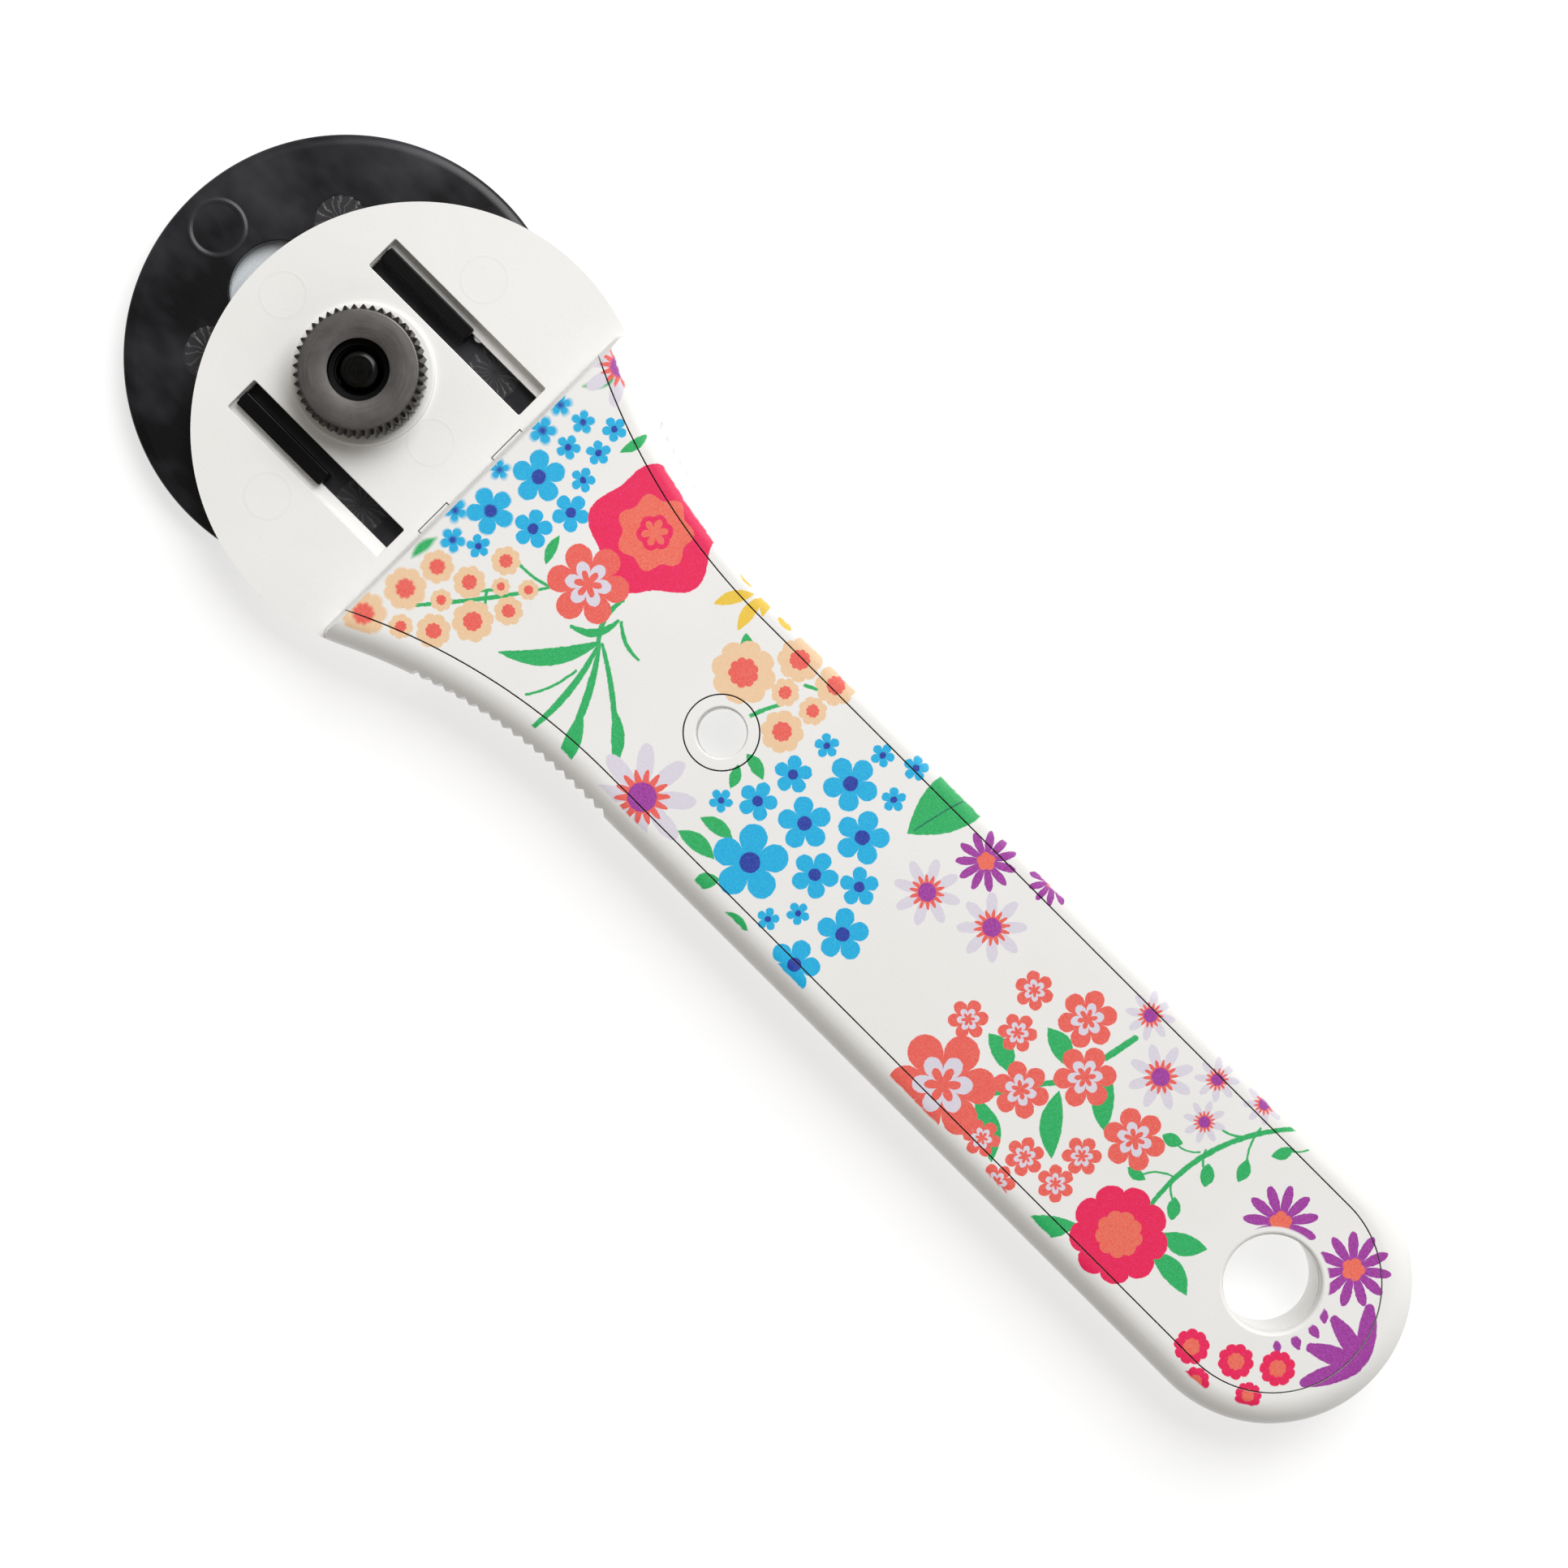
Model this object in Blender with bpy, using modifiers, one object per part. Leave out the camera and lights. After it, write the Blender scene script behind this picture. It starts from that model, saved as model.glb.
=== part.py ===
"""Rotary cutter for fabric: a straight flat handle, a 45 mm round blade and a sliding blade guard.

Metres, +Z up. The cutter lies on its blade side, with the nut side up. The origin is on the
blade axis, in the plane that the bolt's head and the front of the handle rest on. +X runs along
the handle to the hanging hole.
"""

import math

import bmesh
import bpy
from mathutils import Matrix, Vector

# Fits
SEAT_GAP = 0.0003          # between two pieces that seat on or in each other
COVER_SEAM = 0.0003        # round the inlaid cover
SLIDE_GAP = 0.0003         # rail ends to slot ends

# Handle outline, seen from above
HEAD_RADIUS = 0.0254
HEAD_CENTRE_X = 0.0087     # behind the blade axis
NECK_RADIUS = 0.070        # the hollow flank between head and grip
GRIP_HALF_WIDTH = 0.01585
HANG_HOLE_X = 0.1422       # blade axis to hanging hole, which the round end is drawn about
HANG_HOLE_RADIUS = 0.0054
HANG_HOLE_ROUND = 0.0005   # rounded rim of the hole in the cover
SMALL_HOLE_X = 0.05635
SMALL_HOLE_RADIUS = 0.0028

# Handle, side on
HANDLE_THICKNESS = 0.0115
BACK_EDGE_ROUND = 0.0032
FRONT_EDGE_ROUND = 0.0022
PLATE_THICKNESS = 0.0030   # head plate that carries the blade
STEP_MARGIN = 0.0015       # guide slots' rear ends to the step's foot
STEP_LEAN = 0.0009         # how far the step leans back over its height
STEP_ROUND = 0.0006
RECESS_ARC_MORE = 0.0150   # the front steps back in an arc this much wider than the guard
RECESS_MARGIN = 0.0012

# Hollow handle and its inlaid back cover
SEAM_INSET = 0.0038        # seam to the handle's outline
COVER_THICKNESS = 0.0020
LEDGE_WIDTH = 0.0010       # shelf that the cover lies on
FLOOR_THICKNESS = 0.0020
COVER_LIP = 0.0020         # thickness of the cover's front lip, down the step
HANG_TUBE_WALL = 0.0018
SMALL_TUBE_WALL = 0.00135
TAB_INNER_Y = 0.0036
TAB_WIDTH = 0.0043
TAB_REACH = 0.00025        # tab in front of the step's foot
TAB_DEPTH = 0.0009

# Thumb serrations on both flanks of the neck
SERRATION_START_X = 0.0279
SERRATION_PITCH = 0.0015
SERRATION_COUNT = 18
SERRATION_DEPTH = 0.00065
SERRATION_LAND = 0.0001    # between neighbouring grooves at the cutters' widest

# Blade
BLADE_RADIUS = 0.0225
BLADE_THICKNESS = 0.0003
BLADE_HOLE_RADIUS = 0.0040

# Guard
GUARD_RADIUS = 0.0250
GUARD_THICKNESS = 0.0016
GUARD_EDGE = 0.0004
GUARD_CLOSED_X = -0.0033   # guard centre when it covers the edge
GUARD_TRAVEL = 0.0100
GUARD_SLOT_HALF = 0.0057
GUARD_SLOT_FRONT = 0.0104  # front end of its slot, as a centre ahead of the guard's own

# Guide slots in the head plate and the guard's hooked rails
SLOT_FRONT_X = -0.0082
SLOT_INNER_Y = 0.0090
SLOT_WIDTH = 0.00285
SLOT_LEDGE_WIDTH = 0.00135
SLOT_LEDGE_DEPTH = 0.0016
RAIL_LENGTH = 0.0130
RAIL_LEG = 0.00085
RAIL_PLAY = 0.00055        # leg to the slot's outer side
RAIL_LIP_OVERLAP = 0.0004  # lip over the ledge
RAIL_TOP_DROP = 0.00035    # rail top under the plate's face
DETENT_RADIUS = 0.0006
DETENT_HEIGHT = 0.00035

# Bolt, washer and nut
BOLT_HEAD_RADIUS = 0.0076
BOLT_HEAD_THICKNESS = 0.0015
THREAD_RADIUS = 0.0023
BOLT_NECK_SHOULDER = 0.0005  # collar to the round part of the neck
BOLT_FLAT_MARGIN = 0.0002    # the neck's flats to the thread
BOLT_END_DROP = 0.0003     # bolt end under the nut's face
FRONT_BOSS_SHOULDER = 0.0012  # boss that the blade is clamped to, past the blade's hole
NUT_BOSS_MARGIN = 0.00065     # boss past the nut
NUT_BOSS_HEIGHT = 0.0005
WASHER_THICKNESS = 0.0004
WASHER_BOW = 0.0004
NUT_RADIUS = 0.00735
NUT_HEIGHT = 0.0050
NUT_TEETH = 44
NUT_TOOTH_DEPTH = 0.00062
NUT_CHAMFER = 0.00075
NUT_COUNTERBORE_WIDTH = 0.00063  # past the step
NUT_COUNTERBORE_DEPTH = 0.0012
NUT_STEP_WIDTH = 0.0002    # past the bore
NUT_STEP_DEPTH = 0.0007
NUT_SKIRT_WALL = 0.00123   # washer's recess to the knurl's roots
WASHER_PLAY = 0.0003       # washer's edge to its recess

# Heights of the stack on the blade axis
BLADE_Z = BOLT_HEAD_THICKNESS + SEAT_GAP
GUARD_Z = BLADE_Z + BLADE_THICKNESS + SEAT_GAP
PLATE_Z = GUARD_Z + GUARD_THICKNESS + SEAT_GAP
PLATE_TOP = PLATE_Z + PLATE_THICKNESS
BOSS_TOP = PLATE_TOP + NUT_BOSS_HEIGHT
WASHER_Z = BOSS_TOP + SEAT_GAP
NUT_Z = BOSS_TOP + SEAT_GAP
NUT_TOP = NUT_Z + NUT_HEIGHT
NUT_RECESS = WASHER_THICKNESS + WASHER_BOW + SEAT_GAP

# Sizes of the clamped stack that follow from the blade's hole, the thread and the nut
COLLAR_RADIUS = BLADE_HOLE_RADIUS - SEAT_GAP
BOLT_NECK_RADIUS = COLLAR_RADIUS - BOLT_NECK_SHOULDER
BOLT_NECK_FLAT = THREAD_RADIUS + BOLT_FLAT_MARGIN
THREAD_BORE = THREAD_RADIUS + SEAT_GAP
FRONT_BOSS_RADIUS = BLADE_HOLE_RADIUS + FRONT_BOSS_SHOULDER
NUT_ROOT_RADIUS = NUT_RADIUS - NUT_TOOTH_DEPTH
NUT_WELL_RADIUS = NUT_ROOT_RADIUS - NUT_SKIRT_WALL
WASHER_RADIUS = NUT_WELL_RADIUS - WASHER_PLAY
NUT_BOSS_RADIUS = NUT_RADIUS + NUT_BOSS_MARGIN

# Plan sizes that follow from the ones above
NECK_CENTRE_Y = GRIP_HALF_WIDTH + NECK_RADIUS
NECK_CENTRE_X = HEAD_CENTRE_X + math.sqrt((HEAD_RADIUS + NECK_RADIUS) ** 2 - NECK_CENTRE_Y ** 2)
NECK_ANGLE = math.acos(NECK_CENTRE_Y / (HEAD_RADIUS + NECK_RADIUS))
RAIL_FRONT_X = SLOT_FRONT_X + SLIDE_GAP
RAIL_REAR_X = RAIL_FRONT_X + RAIL_LENGTH
SLOT_REAR_X = RAIL_REAR_X + GUARD_TRAVEL + SLIDE_GAP
LEDGE_Y = SLOT_INNER_Y + SLOT_WIDTH
RAIL_OUTER_Y = LEDGE_Y - RAIL_PLAY
STEP_FOOT_X = SLOT_REAR_X + STEP_MARGIN
GUARD_OPEN_X = GUARD_CLOSED_X + GUARD_TRAVEL
RECESS_END_X = GUARD_OPEN_X + GUARD_RADIUS + RECESS_MARGIN
RECESS_ARC_RADIUS = GUARD_RADIUS + RECESS_ARC_MORE
SLANT_TOP_X = STEP_FOOT_X + STEP_LEAN
OVER = 0.002               # how far cutters run past what they cut


def clear_scene():
    for obj in list(bpy.data.objects):
        bpy.data.objects.remove(obj, do_unlink=True)


def new_collection(name):
    made = bpy.data.collections.new(name)
    bpy.context.scene.collection.children.link(made)
    return made


def material(name, colour, roughness, metallic):
    made = bpy.data.materials.new(name)
    made.use_nodes = True
    shader = made.node_tree.nodes["Principled BSDF"]
    shader.inputs["Base Color"].default_value = (*colour, 1.0)
    shader.inputs["Roughness"].default_value = roughness
    shader.inputs["Metallic"].default_value = metallic
    made.diffuse_color = (*colour, 1.0)
    return made


def adopt(obj, name):
    """Names a new object and keeps it in the cutters' collection until it is finished."""
    obj.name = name
    for holder in list(obj.users_collection):
        holder.objects.unlink(obj)
    SHOP.objects.link(obj)
    obj.hide_render = True
    obj.display_type = "WIRE"
    return obj


def settle(obj):
    """Applies location, rotation and scale to the mesh."""
    bpy.context.view_layer.update()
    obj.data.transform(obj.matrix_world)
    obj.matrix_world = Matrix.Identity(4)
    return obj


def box(name, low, high):
    bpy.ops.mesh.primitive_cube_add(size=1.0)
    obj = adopt(bpy.context.object, name)
    obj.scale = [b - a for a, b in zip(low, high)]
    obj.location = [(a + b) / 2 for a, b in zip(low, high)]
    return settle(obj)


def cylinder(name, radius, z0, z1, x=0.0, y=0.0, segments=48):
    bpy.ops.mesh.primitive_cylinder_add(vertices=segments, radius=radius, depth=z1 - z0)
    obj = adopt(bpy.context.object, name)
    obj.location = (x, y, (z0 + z1) / 2)
    return settle(obj)


def prism(name, outline, z0, z1):
    """A flat outline, as a 2D curve with thickness, made into a mesh with whole end faces."""
    curve = bpy.data.curves.new(name, "CURVE")
    curve.dimensions = "2D"
    curve.fill_mode = "BOTH"
    curve.extrude = (z1 - z0) / 2
    spline = curve.splines.new("POLY")
    spline.points.add(len(outline) - 1)
    for point, (x, y) in zip(spline.points, outline):
        point.co = (x, y, 0.0, 1.0)
    spline.use_cyclic_u = True
    drawn = adopt(bpy.data.objects.new(name + "_outline", curve), name + "_outline")
    drawn.location = (0.0, 0.0, (z0 + z1) / 2)
    bpy.context.view_layer.update()
    graph = bpy.context.evaluated_depsgraph_get()
    mesh = bpy.data.meshes.new_from_object(drawn.evaluated_get(graph))
    obj = adopt(bpy.data.objects.new(name, mesh), name)
    obj.matrix_world = drawn.matrix_world.copy()
    bpy.data.objects.remove(drawn, do_unlink=True)
    settle(obj)
    shape = bmesh.new()
    shape.from_mesh(mesh)
    bmesh.ops.remove_doubles(shape, verts=shape.verts, dist=1e-6)
    bmesh.ops.dissolve_limit(shape, angle_limit=math.radians(0.05), verts=shape.verts, edges=shape.edges)
    bmesh.ops.recalc_face_normals(shape, faces=shape.faces)
    shape.to_mesh(mesh)
    shape.free()
    return obj


def turned(name, profile, steps=48):
    """A profile of (radius, z) points, from top to bottom down its outer side, turned about Z."""
    ring = profile[0] == profile[-1]
    points = [(radius, 0.0, z) for radius, z in (profile[:-1] if ring else profile)]
    edges = [(i, (i + 1) % len(points)) for i in range(len(profile) - 1)]
    mesh = bpy.data.meshes.new(name)
    mesh.from_pydata(points, edges, [])
    obj = adopt(bpy.data.objects.new(name, mesh), name)
    screw = obj.modifiers.new("Turn", "SCREW")
    screw.axis = "Z"
    screw.steps = steps
    screw.render_steps = steps
    screw.use_merge_vertices = True
    screw.merge_threshold = 1e-5
    screw.use_smooth_shade = True
    return realise(obj)


def realise(obj):
    """Keeps the shape that the modifiers give, as plain mesh."""
    bpy.context.view_layer.update()
    graph = bpy.context.evaluated_depsgraph_get()
    mesh = bpy.data.meshes.new_from_object(obj.evaluated_get(graph))
    obj.modifiers.clear()
    obj.data = mesh
    return obj


def combine(obj, other, operation):
    step = obj.modifiers.new(other.name, "BOOLEAN")
    step.operation = operation
    step.solver = "EXACT"
    step.object = other
    realise(obj)
    bpy.data.objects.remove(other, do_unlink=True)
    return obj


def cut(obj, *others):
    for other in others:
        combine(obj, other, "DIFFERENCE")
    return obj


def join(obj, *others):
    for other in others:
        combine(obj, other, "UNION")
    return obj


def bevel_edges(obj, width, segments, wanted):
    """Rounds the edges whose two ends both pass the test."""
    shape = bmesh.new()
    shape.from_mesh(obj.data)
    edges = [e for e in shape.edges if all(wanted(v.co) for v in e.verts)]
    bmesh.ops.bevel(shape, geom=edges, offset=width, offset_type="OFFSET", segments=segments,
                    profile=0.5, affect="EDGES", clamp_overlap=True)
    shape.to_mesh(obj.data)
    shape.free()
    return obj


def finish(obj, name, look, origin=(0.0, 0.0, 0.0)):
    """Puts a finished piece in the object's own collection, with its origin where it moves about."""
    obj.name = name
    obj.data.name = name
    for holder in list(obj.users_collection):
        holder.objects.unlink(obj)
    PARTS.objects.link(obj)
    obj.hide_render = False
    obj.display_type = "TEXTURED"
    obj.data.transform(Matrix.Translation(-Vector(origin)))
    obj.data.materials.clear()
    obj.data.materials.append(look)
    obj.data.shade_smooth()
    obj.data.set_sharp_from_angle(angle=math.radians(30))
    obj.location = origin
    obj.parent = ROOT
    return obj


def arc(x, y, radius, start, end, steps):
    """Points on an arc, both ends included. Angles are in radians from +X."""
    turns = [start + (end - start) * i / steps for i in range(steps + 1)]
    return [(x + radius * math.cos(t), y + radius * math.sin(t)) for t in turns]


def handle_outline(inset):
    """The handle seen from above, moved inwards all round by inset."""
    meet = math.pi / 2 - NECK_ANGLE
    head = arc(HEAD_CENTRE_X, 0.0, HEAD_RADIUS - inset, math.pi, meet, 16)
    neck = arc(NECK_CENTRE_X, NECK_CENTRE_Y, NECK_RADIUS + inset,
               -math.pi / 2 - NECK_ANGLE, -math.pi / 2, 5)
    end = arc(HANG_HOLE_X, 0.0, GRIP_HALF_WIDTH - inset, math.pi / 2, 0.0, 9)
    upper = head + neck[1:] + end
    return upper + [(x, -y) for x, y in reversed(upper[1:-1])]


def stadium(x0, x1, radius, steps=14):
    """A slot's outline, with half-round ends about x0 and x1."""
    right = arc(x1, 0.0, radius, -math.pi / 2, math.pi / 2, steps)
    left = arc(x0, 0.0, radius, math.pi / 2, math.pi * 1.5, steps)
    return right + left


def double_flat(radius, flat, steps=10):
    """A circle with two flats at y = plus and minus flat."""
    lean = math.asin(flat / radius)
    right = arc(0.0, 0.0, radius, -lean, lean, steps)
    return right + [(-x, -y) for x, y in right]


def flank(x):
    """A point on the neck's +Y flank or the grip's side, and the way out from it."""
    if x >= NECK_CENTRE_X:
        return Vector((x, GRIP_HALF_WIDTH, 0.0)), Vector((0.0, 1.0, 0.0))
    drop = math.sqrt(NECK_RADIUS ** 2 - (NECK_CENTRE_X - x) ** 2)
    out = Vector((NECK_CENTRE_X - x, drop, 0.0)).normalized()
    return Vector((x, NECK_CENTRE_Y - drop, 0.0)), out


def serration_cutters():
    """Square bars on edge, one for each groove, along both flanks."""
    half = (SERRATION_PITCH - SERRATION_LAND) / 2
    shape = bmesh.new()
    x = SERRATION_START_X
    for _ in range(SERRATION_COUNT):
        place, out = flank(x)
        for side in (1, -1):
            centre = place + out * (half - SERRATION_DEPTH)
            bar = bmesh.ops.create_cube(shape, size=1.0)["verts"]
            turn = math.atan2(out.y * side, out.x) + math.pi / 4
            side_length = half * math.sqrt(2)
            size = Matrix.Diagonal((side_length, side_length, HANDLE_THICKNESS + 2 * OVER, 1.0))
            where = Matrix.Translation((centre.x, centre.y * side, HANDLE_THICKNESS / 2))
            bmesh.ops.transform(shape, verts=bar, matrix=where @ Matrix.Rotation(turn, 4, "Z") @ size)
        x += SERRATION_PITCH * out.y
    mesh = bpy.data.meshes.new("serrations")
    shape.to_mesh(mesh)
    shape.free()
    return adopt(bpy.data.objects.new("serrations", mesh), "serrations")


def step_cutter():
    """Everything above the head plate and ahead of the step, whose top edge is rounded."""
    far = HEAD_CENTRE_X - HEAD_RADIUS - 4 * OVER
    rise = HANDLE_THICKNESS - PLATE_TOP
    lean = math.atan2(STEP_LEAN, rise)
    turn = math.pi / 2 - lean
    reach = STEP_ROUND * math.tan(turn / 2)
    corner = Vector((SLANT_TOP_X, HANDLE_THICKNESS))
    centre_x = corner.x + reach
    centre_z = corner.y - STEP_ROUND
    rounding = arc(centre_x, centre_z, STEP_ROUND, math.pi / 2 + turn, math.pi / 2, 4)
    profile = [(far, PLATE_TOP), (STEP_FOOT_X, PLATE_TOP)] + rounding
    profile += [(centre_x, HANDLE_THICKNESS + OVER), (far, HANDLE_THICKNESS + OVER)]
    width = HEAD_RADIUS + 2 * OVER
    obj = prism("step", profile, -width, width)
    obj.data.transform(Matrix.Rotation(math.pi / 2, 4, "X"))
    return obj


def front_recess():
    """Room under the head plate for the blade and the guard, to the guard's open place."""
    far = HEAD_CENTRE_X - HEAD_RADIUS - 4 * OVER
    side = max(HEAD_RADIUS, GUARD_RADIUS) + 4 * OVER
    lean = math.asin(min(0.95, side / RECESS_ARC_RADIUS))
    bow = arc(RECESS_END_X - RECESS_ARC_RADIUS, 0.0, RECESS_ARC_RADIUS, -lean, lean, 20)
    outline = [(far, bow[0][1])] + bow + [(far, bow[-1][1])]
    return prism("front_recess", outline, -OVER, PLATE_Z)


def cover_rebate():
    """The space that the cover and its front lip lie in, with the seam round them."""
    bed = prism("rebate", handle_outline(SEAM_INSET - COVER_SEAM / 2), PLATE_TOP, HANDLE_THICKNESS + OVER)
    ledge = box("rebate_floor", (SLANT_TOP_X + COVER_LIP + SEAT_GAP, -1.0, -1.0),
                (1.0, 1.0, HANDLE_THICKNESS - COVER_THICKNESS - SEAT_GAP))
    ahead = box("ahead_of_step", (-1.0, -1.0, -1.0), (STEP_FOOT_X - 2 * SEAT_GAP, 1.0, 1.0))
    return cut(bed, ledge, ahead)


def pockets():
    """The hollow of the grip: deep behind the guard's recess, and shallow over it."""
    top = HANDLE_THICKNESS - COVER_THICKNESS
    start = SLANT_TOP_X + COVER_LIP + SEAT_GAP + LEDGE_WIDTH
    hollow = prism("pocket", handle_outline(SEAM_INSET + LEDGE_WIDTH), FLOOR_THICKNESS, top)
    cut(hollow, box("before_pocket", (-1.0, -1.0, -1.0), (start, 1.0, 1.0)))
    over_recess = (RECESS_END_X + FLOOR_THICKNESS, 1.0, PLATE_Z + FLOOR_THICKNESS)
    return cut(hollow, box("raised_floor", (-1.0, -1.0, -1.0), over_recess))


def tab_places():
    return [(TAB_INNER_Y, TAB_INNER_Y + TAB_WIDTH), (-TAB_INNER_Y - TAB_WIDTH, -TAB_INNER_Y)]


def guide_slots(body):
    """Two slots through the head plate, each with a sunk ledge along its outer side."""
    for side in (1, -1):
        ys = sorted((side * SLOT_INNER_Y, side * LEDGE_Y))
        through = box("slot", (SLOT_FRONT_X, ys[0], PLATE_Z - OVER), (SLOT_REAR_X, ys[1], PLATE_TOP + OVER))
        cut(body, through)
        ys = sorted((side * (LEDGE_Y - 0.5 * SLOT_WIDTH), side * (LEDGE_Y + SLOT_LEDGE_WIDTH)))
        ledge = box("ledge", (SLOT_FRONT_X, ys[0], PLATE_TOP - SLOT_LEDGE_DEPTH),
                    (SLOT_REAR_X, ys[1], PLATE_TOP + OVER))
        cut(body, ledge)
    x = RAIL_REAR_X + DETENT_RADIUS + SLIDE_GAP / 2
    y = LEDGE_Y + DETENT_RADIUS - DETENT_HEIGHT
    join(body, cylinder("detent", DETENT_RADIUS, PLATE_Z + SEAT_GAP, PLATE_TOP - SLOT_LEDGE_DEPTH - SEAT_GAP,
                        x, y, segments=16))


def blade_seats(body):
    """Bosses on both faces of the head plate, and the flat-sided bore for the bolt's neck."""
    join(body, cylinder("front_boss", FRONT_BOSS_RADIUS, GUARD_Z, PLATE_Z + 0.5 * PLATE_THICKNESS))
    raised = turned("nut_boss", [(0.0, BOSS_TOP), (NUT_BOSS_RADIUS - 0.5 * NUT_BOSS_HEIGHT, BOSS_TOP),
                                 (NUT_BOSS_RADIUS, BOSS_TOP - 0.5 * NUT_BOSS_HEIGHT),
                                 (NUT_BOSS_RADIUS, PLATE_TOP - 0.5 * PLATE_THICKNESS),
                                 (0.0, PLATE_TOP - 0.5 * PLATE_THICKNESS)])
    join(body, raised)
    bore = double_flat(BOLT_NECK_RADIUS + SEAT_GAP, BOLT_NECK_FLAT + SEAT_GAP)
    cut(body, prism("bolt_bore", bore, GUARD_Z - OVER, BOSS_TOP + OVER))


def handle_body():
    body = prism("body", handle_outline(0.0), 0.0, HANDLE_THICKNESS)
    top = HANDLE_THICKNESS
    bevel_edges(body, BACK_EDGE_ROUND, 4, lambda co: co.z > 0.999 * top)
    bevel_edges(body, FRONT_EDGE_ROUND, 3, lambda co: co.z < 0.001 * top)
    cut(body, step_cutter(), front_recess(), serration_cutters())
    cut(body, pockets(), cover_rebate())
    shelf = HANDLE_THICKNESS - COVER_THICKNESS - SEAT_GAP
    hang_tube = HANG_HOLE_RADIUS + HANG_TUBE_WALL
    small_tube = SMALL_HOLE_RADIUS + SMALL_TUBE_WALL
    join(body, cylinder("hang_tube", hang_tube, 0.5 * FLOOR_THICKNESS, shelf, HANG_HOLE_X))
    join(body, cylinder("small_tube", small_tube, 0.5 * FLOOR_THICKNESS, top, SMALL_HOLE_X, segments=36))
    cut(body, cylinder("hang_hole", HANG_HOLE_RADIUS, -OVER, top + OVER, HANG_HOLE_X))
    cut(body, cylinder("small_hole", SMALL_HOLE_RADIUS, -OVER, top + OVER, SMALL_HOLE_X, segments=36))
    notch_x = STEP_FOOT_X - TAB_REACH - SEAT_GAP
    notch_z = PLATE_TOP - TAB_DEPTH - SEAT_GAP
    for low, high in tab_places():
        cut(body, box("notch", (notch_x, low - SEAT_GAP, notch_z),
                      (SLANT_TOP_X + COVER_LIP + SEAT_GAP, high + SEAT_GAP, PLATE_TOP + OVER)))
    guide_slots(body)
    blade_seats(body)
    return finish(body, "handle_body", material("white_plastic", (0.86, 0.85, 0.83), 0.45, 0.0))


def back_cover():
    inset = SEAM_INSET + COVER_SEAM / 2
    shelf = HANDLE_THICKNESS - COVER_THICKNESS
    cover = prism("cover", handle_outline(inset), PLATE_TOP + SEAT_GAP, HANDLE_THICKNESS)
    cut(cover, box("behind", (SLANT_TOP_X + COVER_LIP, -1.0, -1.0), (1.0, 1.0, shelf)))
    cut(cover, step_cutter())
    cut(cover, box("ahead", (-1.0, -1.0, -1.0), (STEP_FOOT_X, 1.0, 1.0)))
    for low, high in tab_places():
        tab = box("tab", (STEP_FOOT_X - TAB_REACH, low, PLATE_TOP - TAB_DEPTH),
                  (SLANT_TOP_X + 0.75 * COVER_LIP, high, PLATE_TOP))
        root = box("tab_root", (SLANT_TOP_X + 0.25 * COVER_LIP, low, PLATE_TOP - 0.5 * TAB_DEPTH),
                   (SLANT_TOP_X + 0.75 * COVER_LIP, high, HANDLE_THICKNESS - 0.5 * COVER_THICKNESS))
        join(cover, join(tab, root))
    small = SMALL_HOLE_RADIUS + SMALL_TUBE_WALL + COVER_SEAM
    cut(cover, cylinder("tube_hole", small, 0.0, HANDLE_THICKNESS + OVER, SMALL_HOLE_X, segments=36))
    rim = HANG_HOLE_RADIUS + HANG_HOLE_ROUND
    top = HANDLE_THICKNESS
    flare = [(0.0, top + OVER), (rim, top + OVER), (rim, top)]
    flare += [(rim - HANG_HOLE_ROUND * math.sin(t), top - HANG_HOLE_ROUND * (1 - math.cos(t)))
              for t in (math.radians(a) for a in (22.5, 45.0, 67.5, 90.0))]
    flare += [(HANG_HOLE_RADIUS, 0.0), (0.0, 0.0)]
    hole = turned("hang_rim", flare)
    hole.location = (HANG_HOLE_X, 0.0, 0.0)
    cut(cover, settle(hole))
    return finish(cover, "back_cover", material("printed_white_plastic", (0.85, 0.84, 0.82), 0.4, 0.0))


def blade():
    disc = cylinder("disc", BLADE_RADIUS, BLADE_Z, BLADE_Z + BLADE_THICKNESS, segments=72)
    edge = BLADE_Z + 0.5 * BLADE_THICKNESS
    bevel_edges(disc, 0.45 * BLADE_THICKNESS, 1, lambda co: abs(co.z - edge) > 0.4 * BLADE_THICKNESS)
    top = BLADE_Z + BLADE_THICKNESS
    cut(disc, cylinder("blade_hole", BLADE_HOLE_RADIUS, BLADE_Z - OVER, top + OVER, segments=36))
    steel = material("blade_steel", (0.78, 0.81, 0.84), 0.22, 1.0)
    return finish(disc, "blade", steel, (0.0, 0.0, BLADE_Z))


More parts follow.
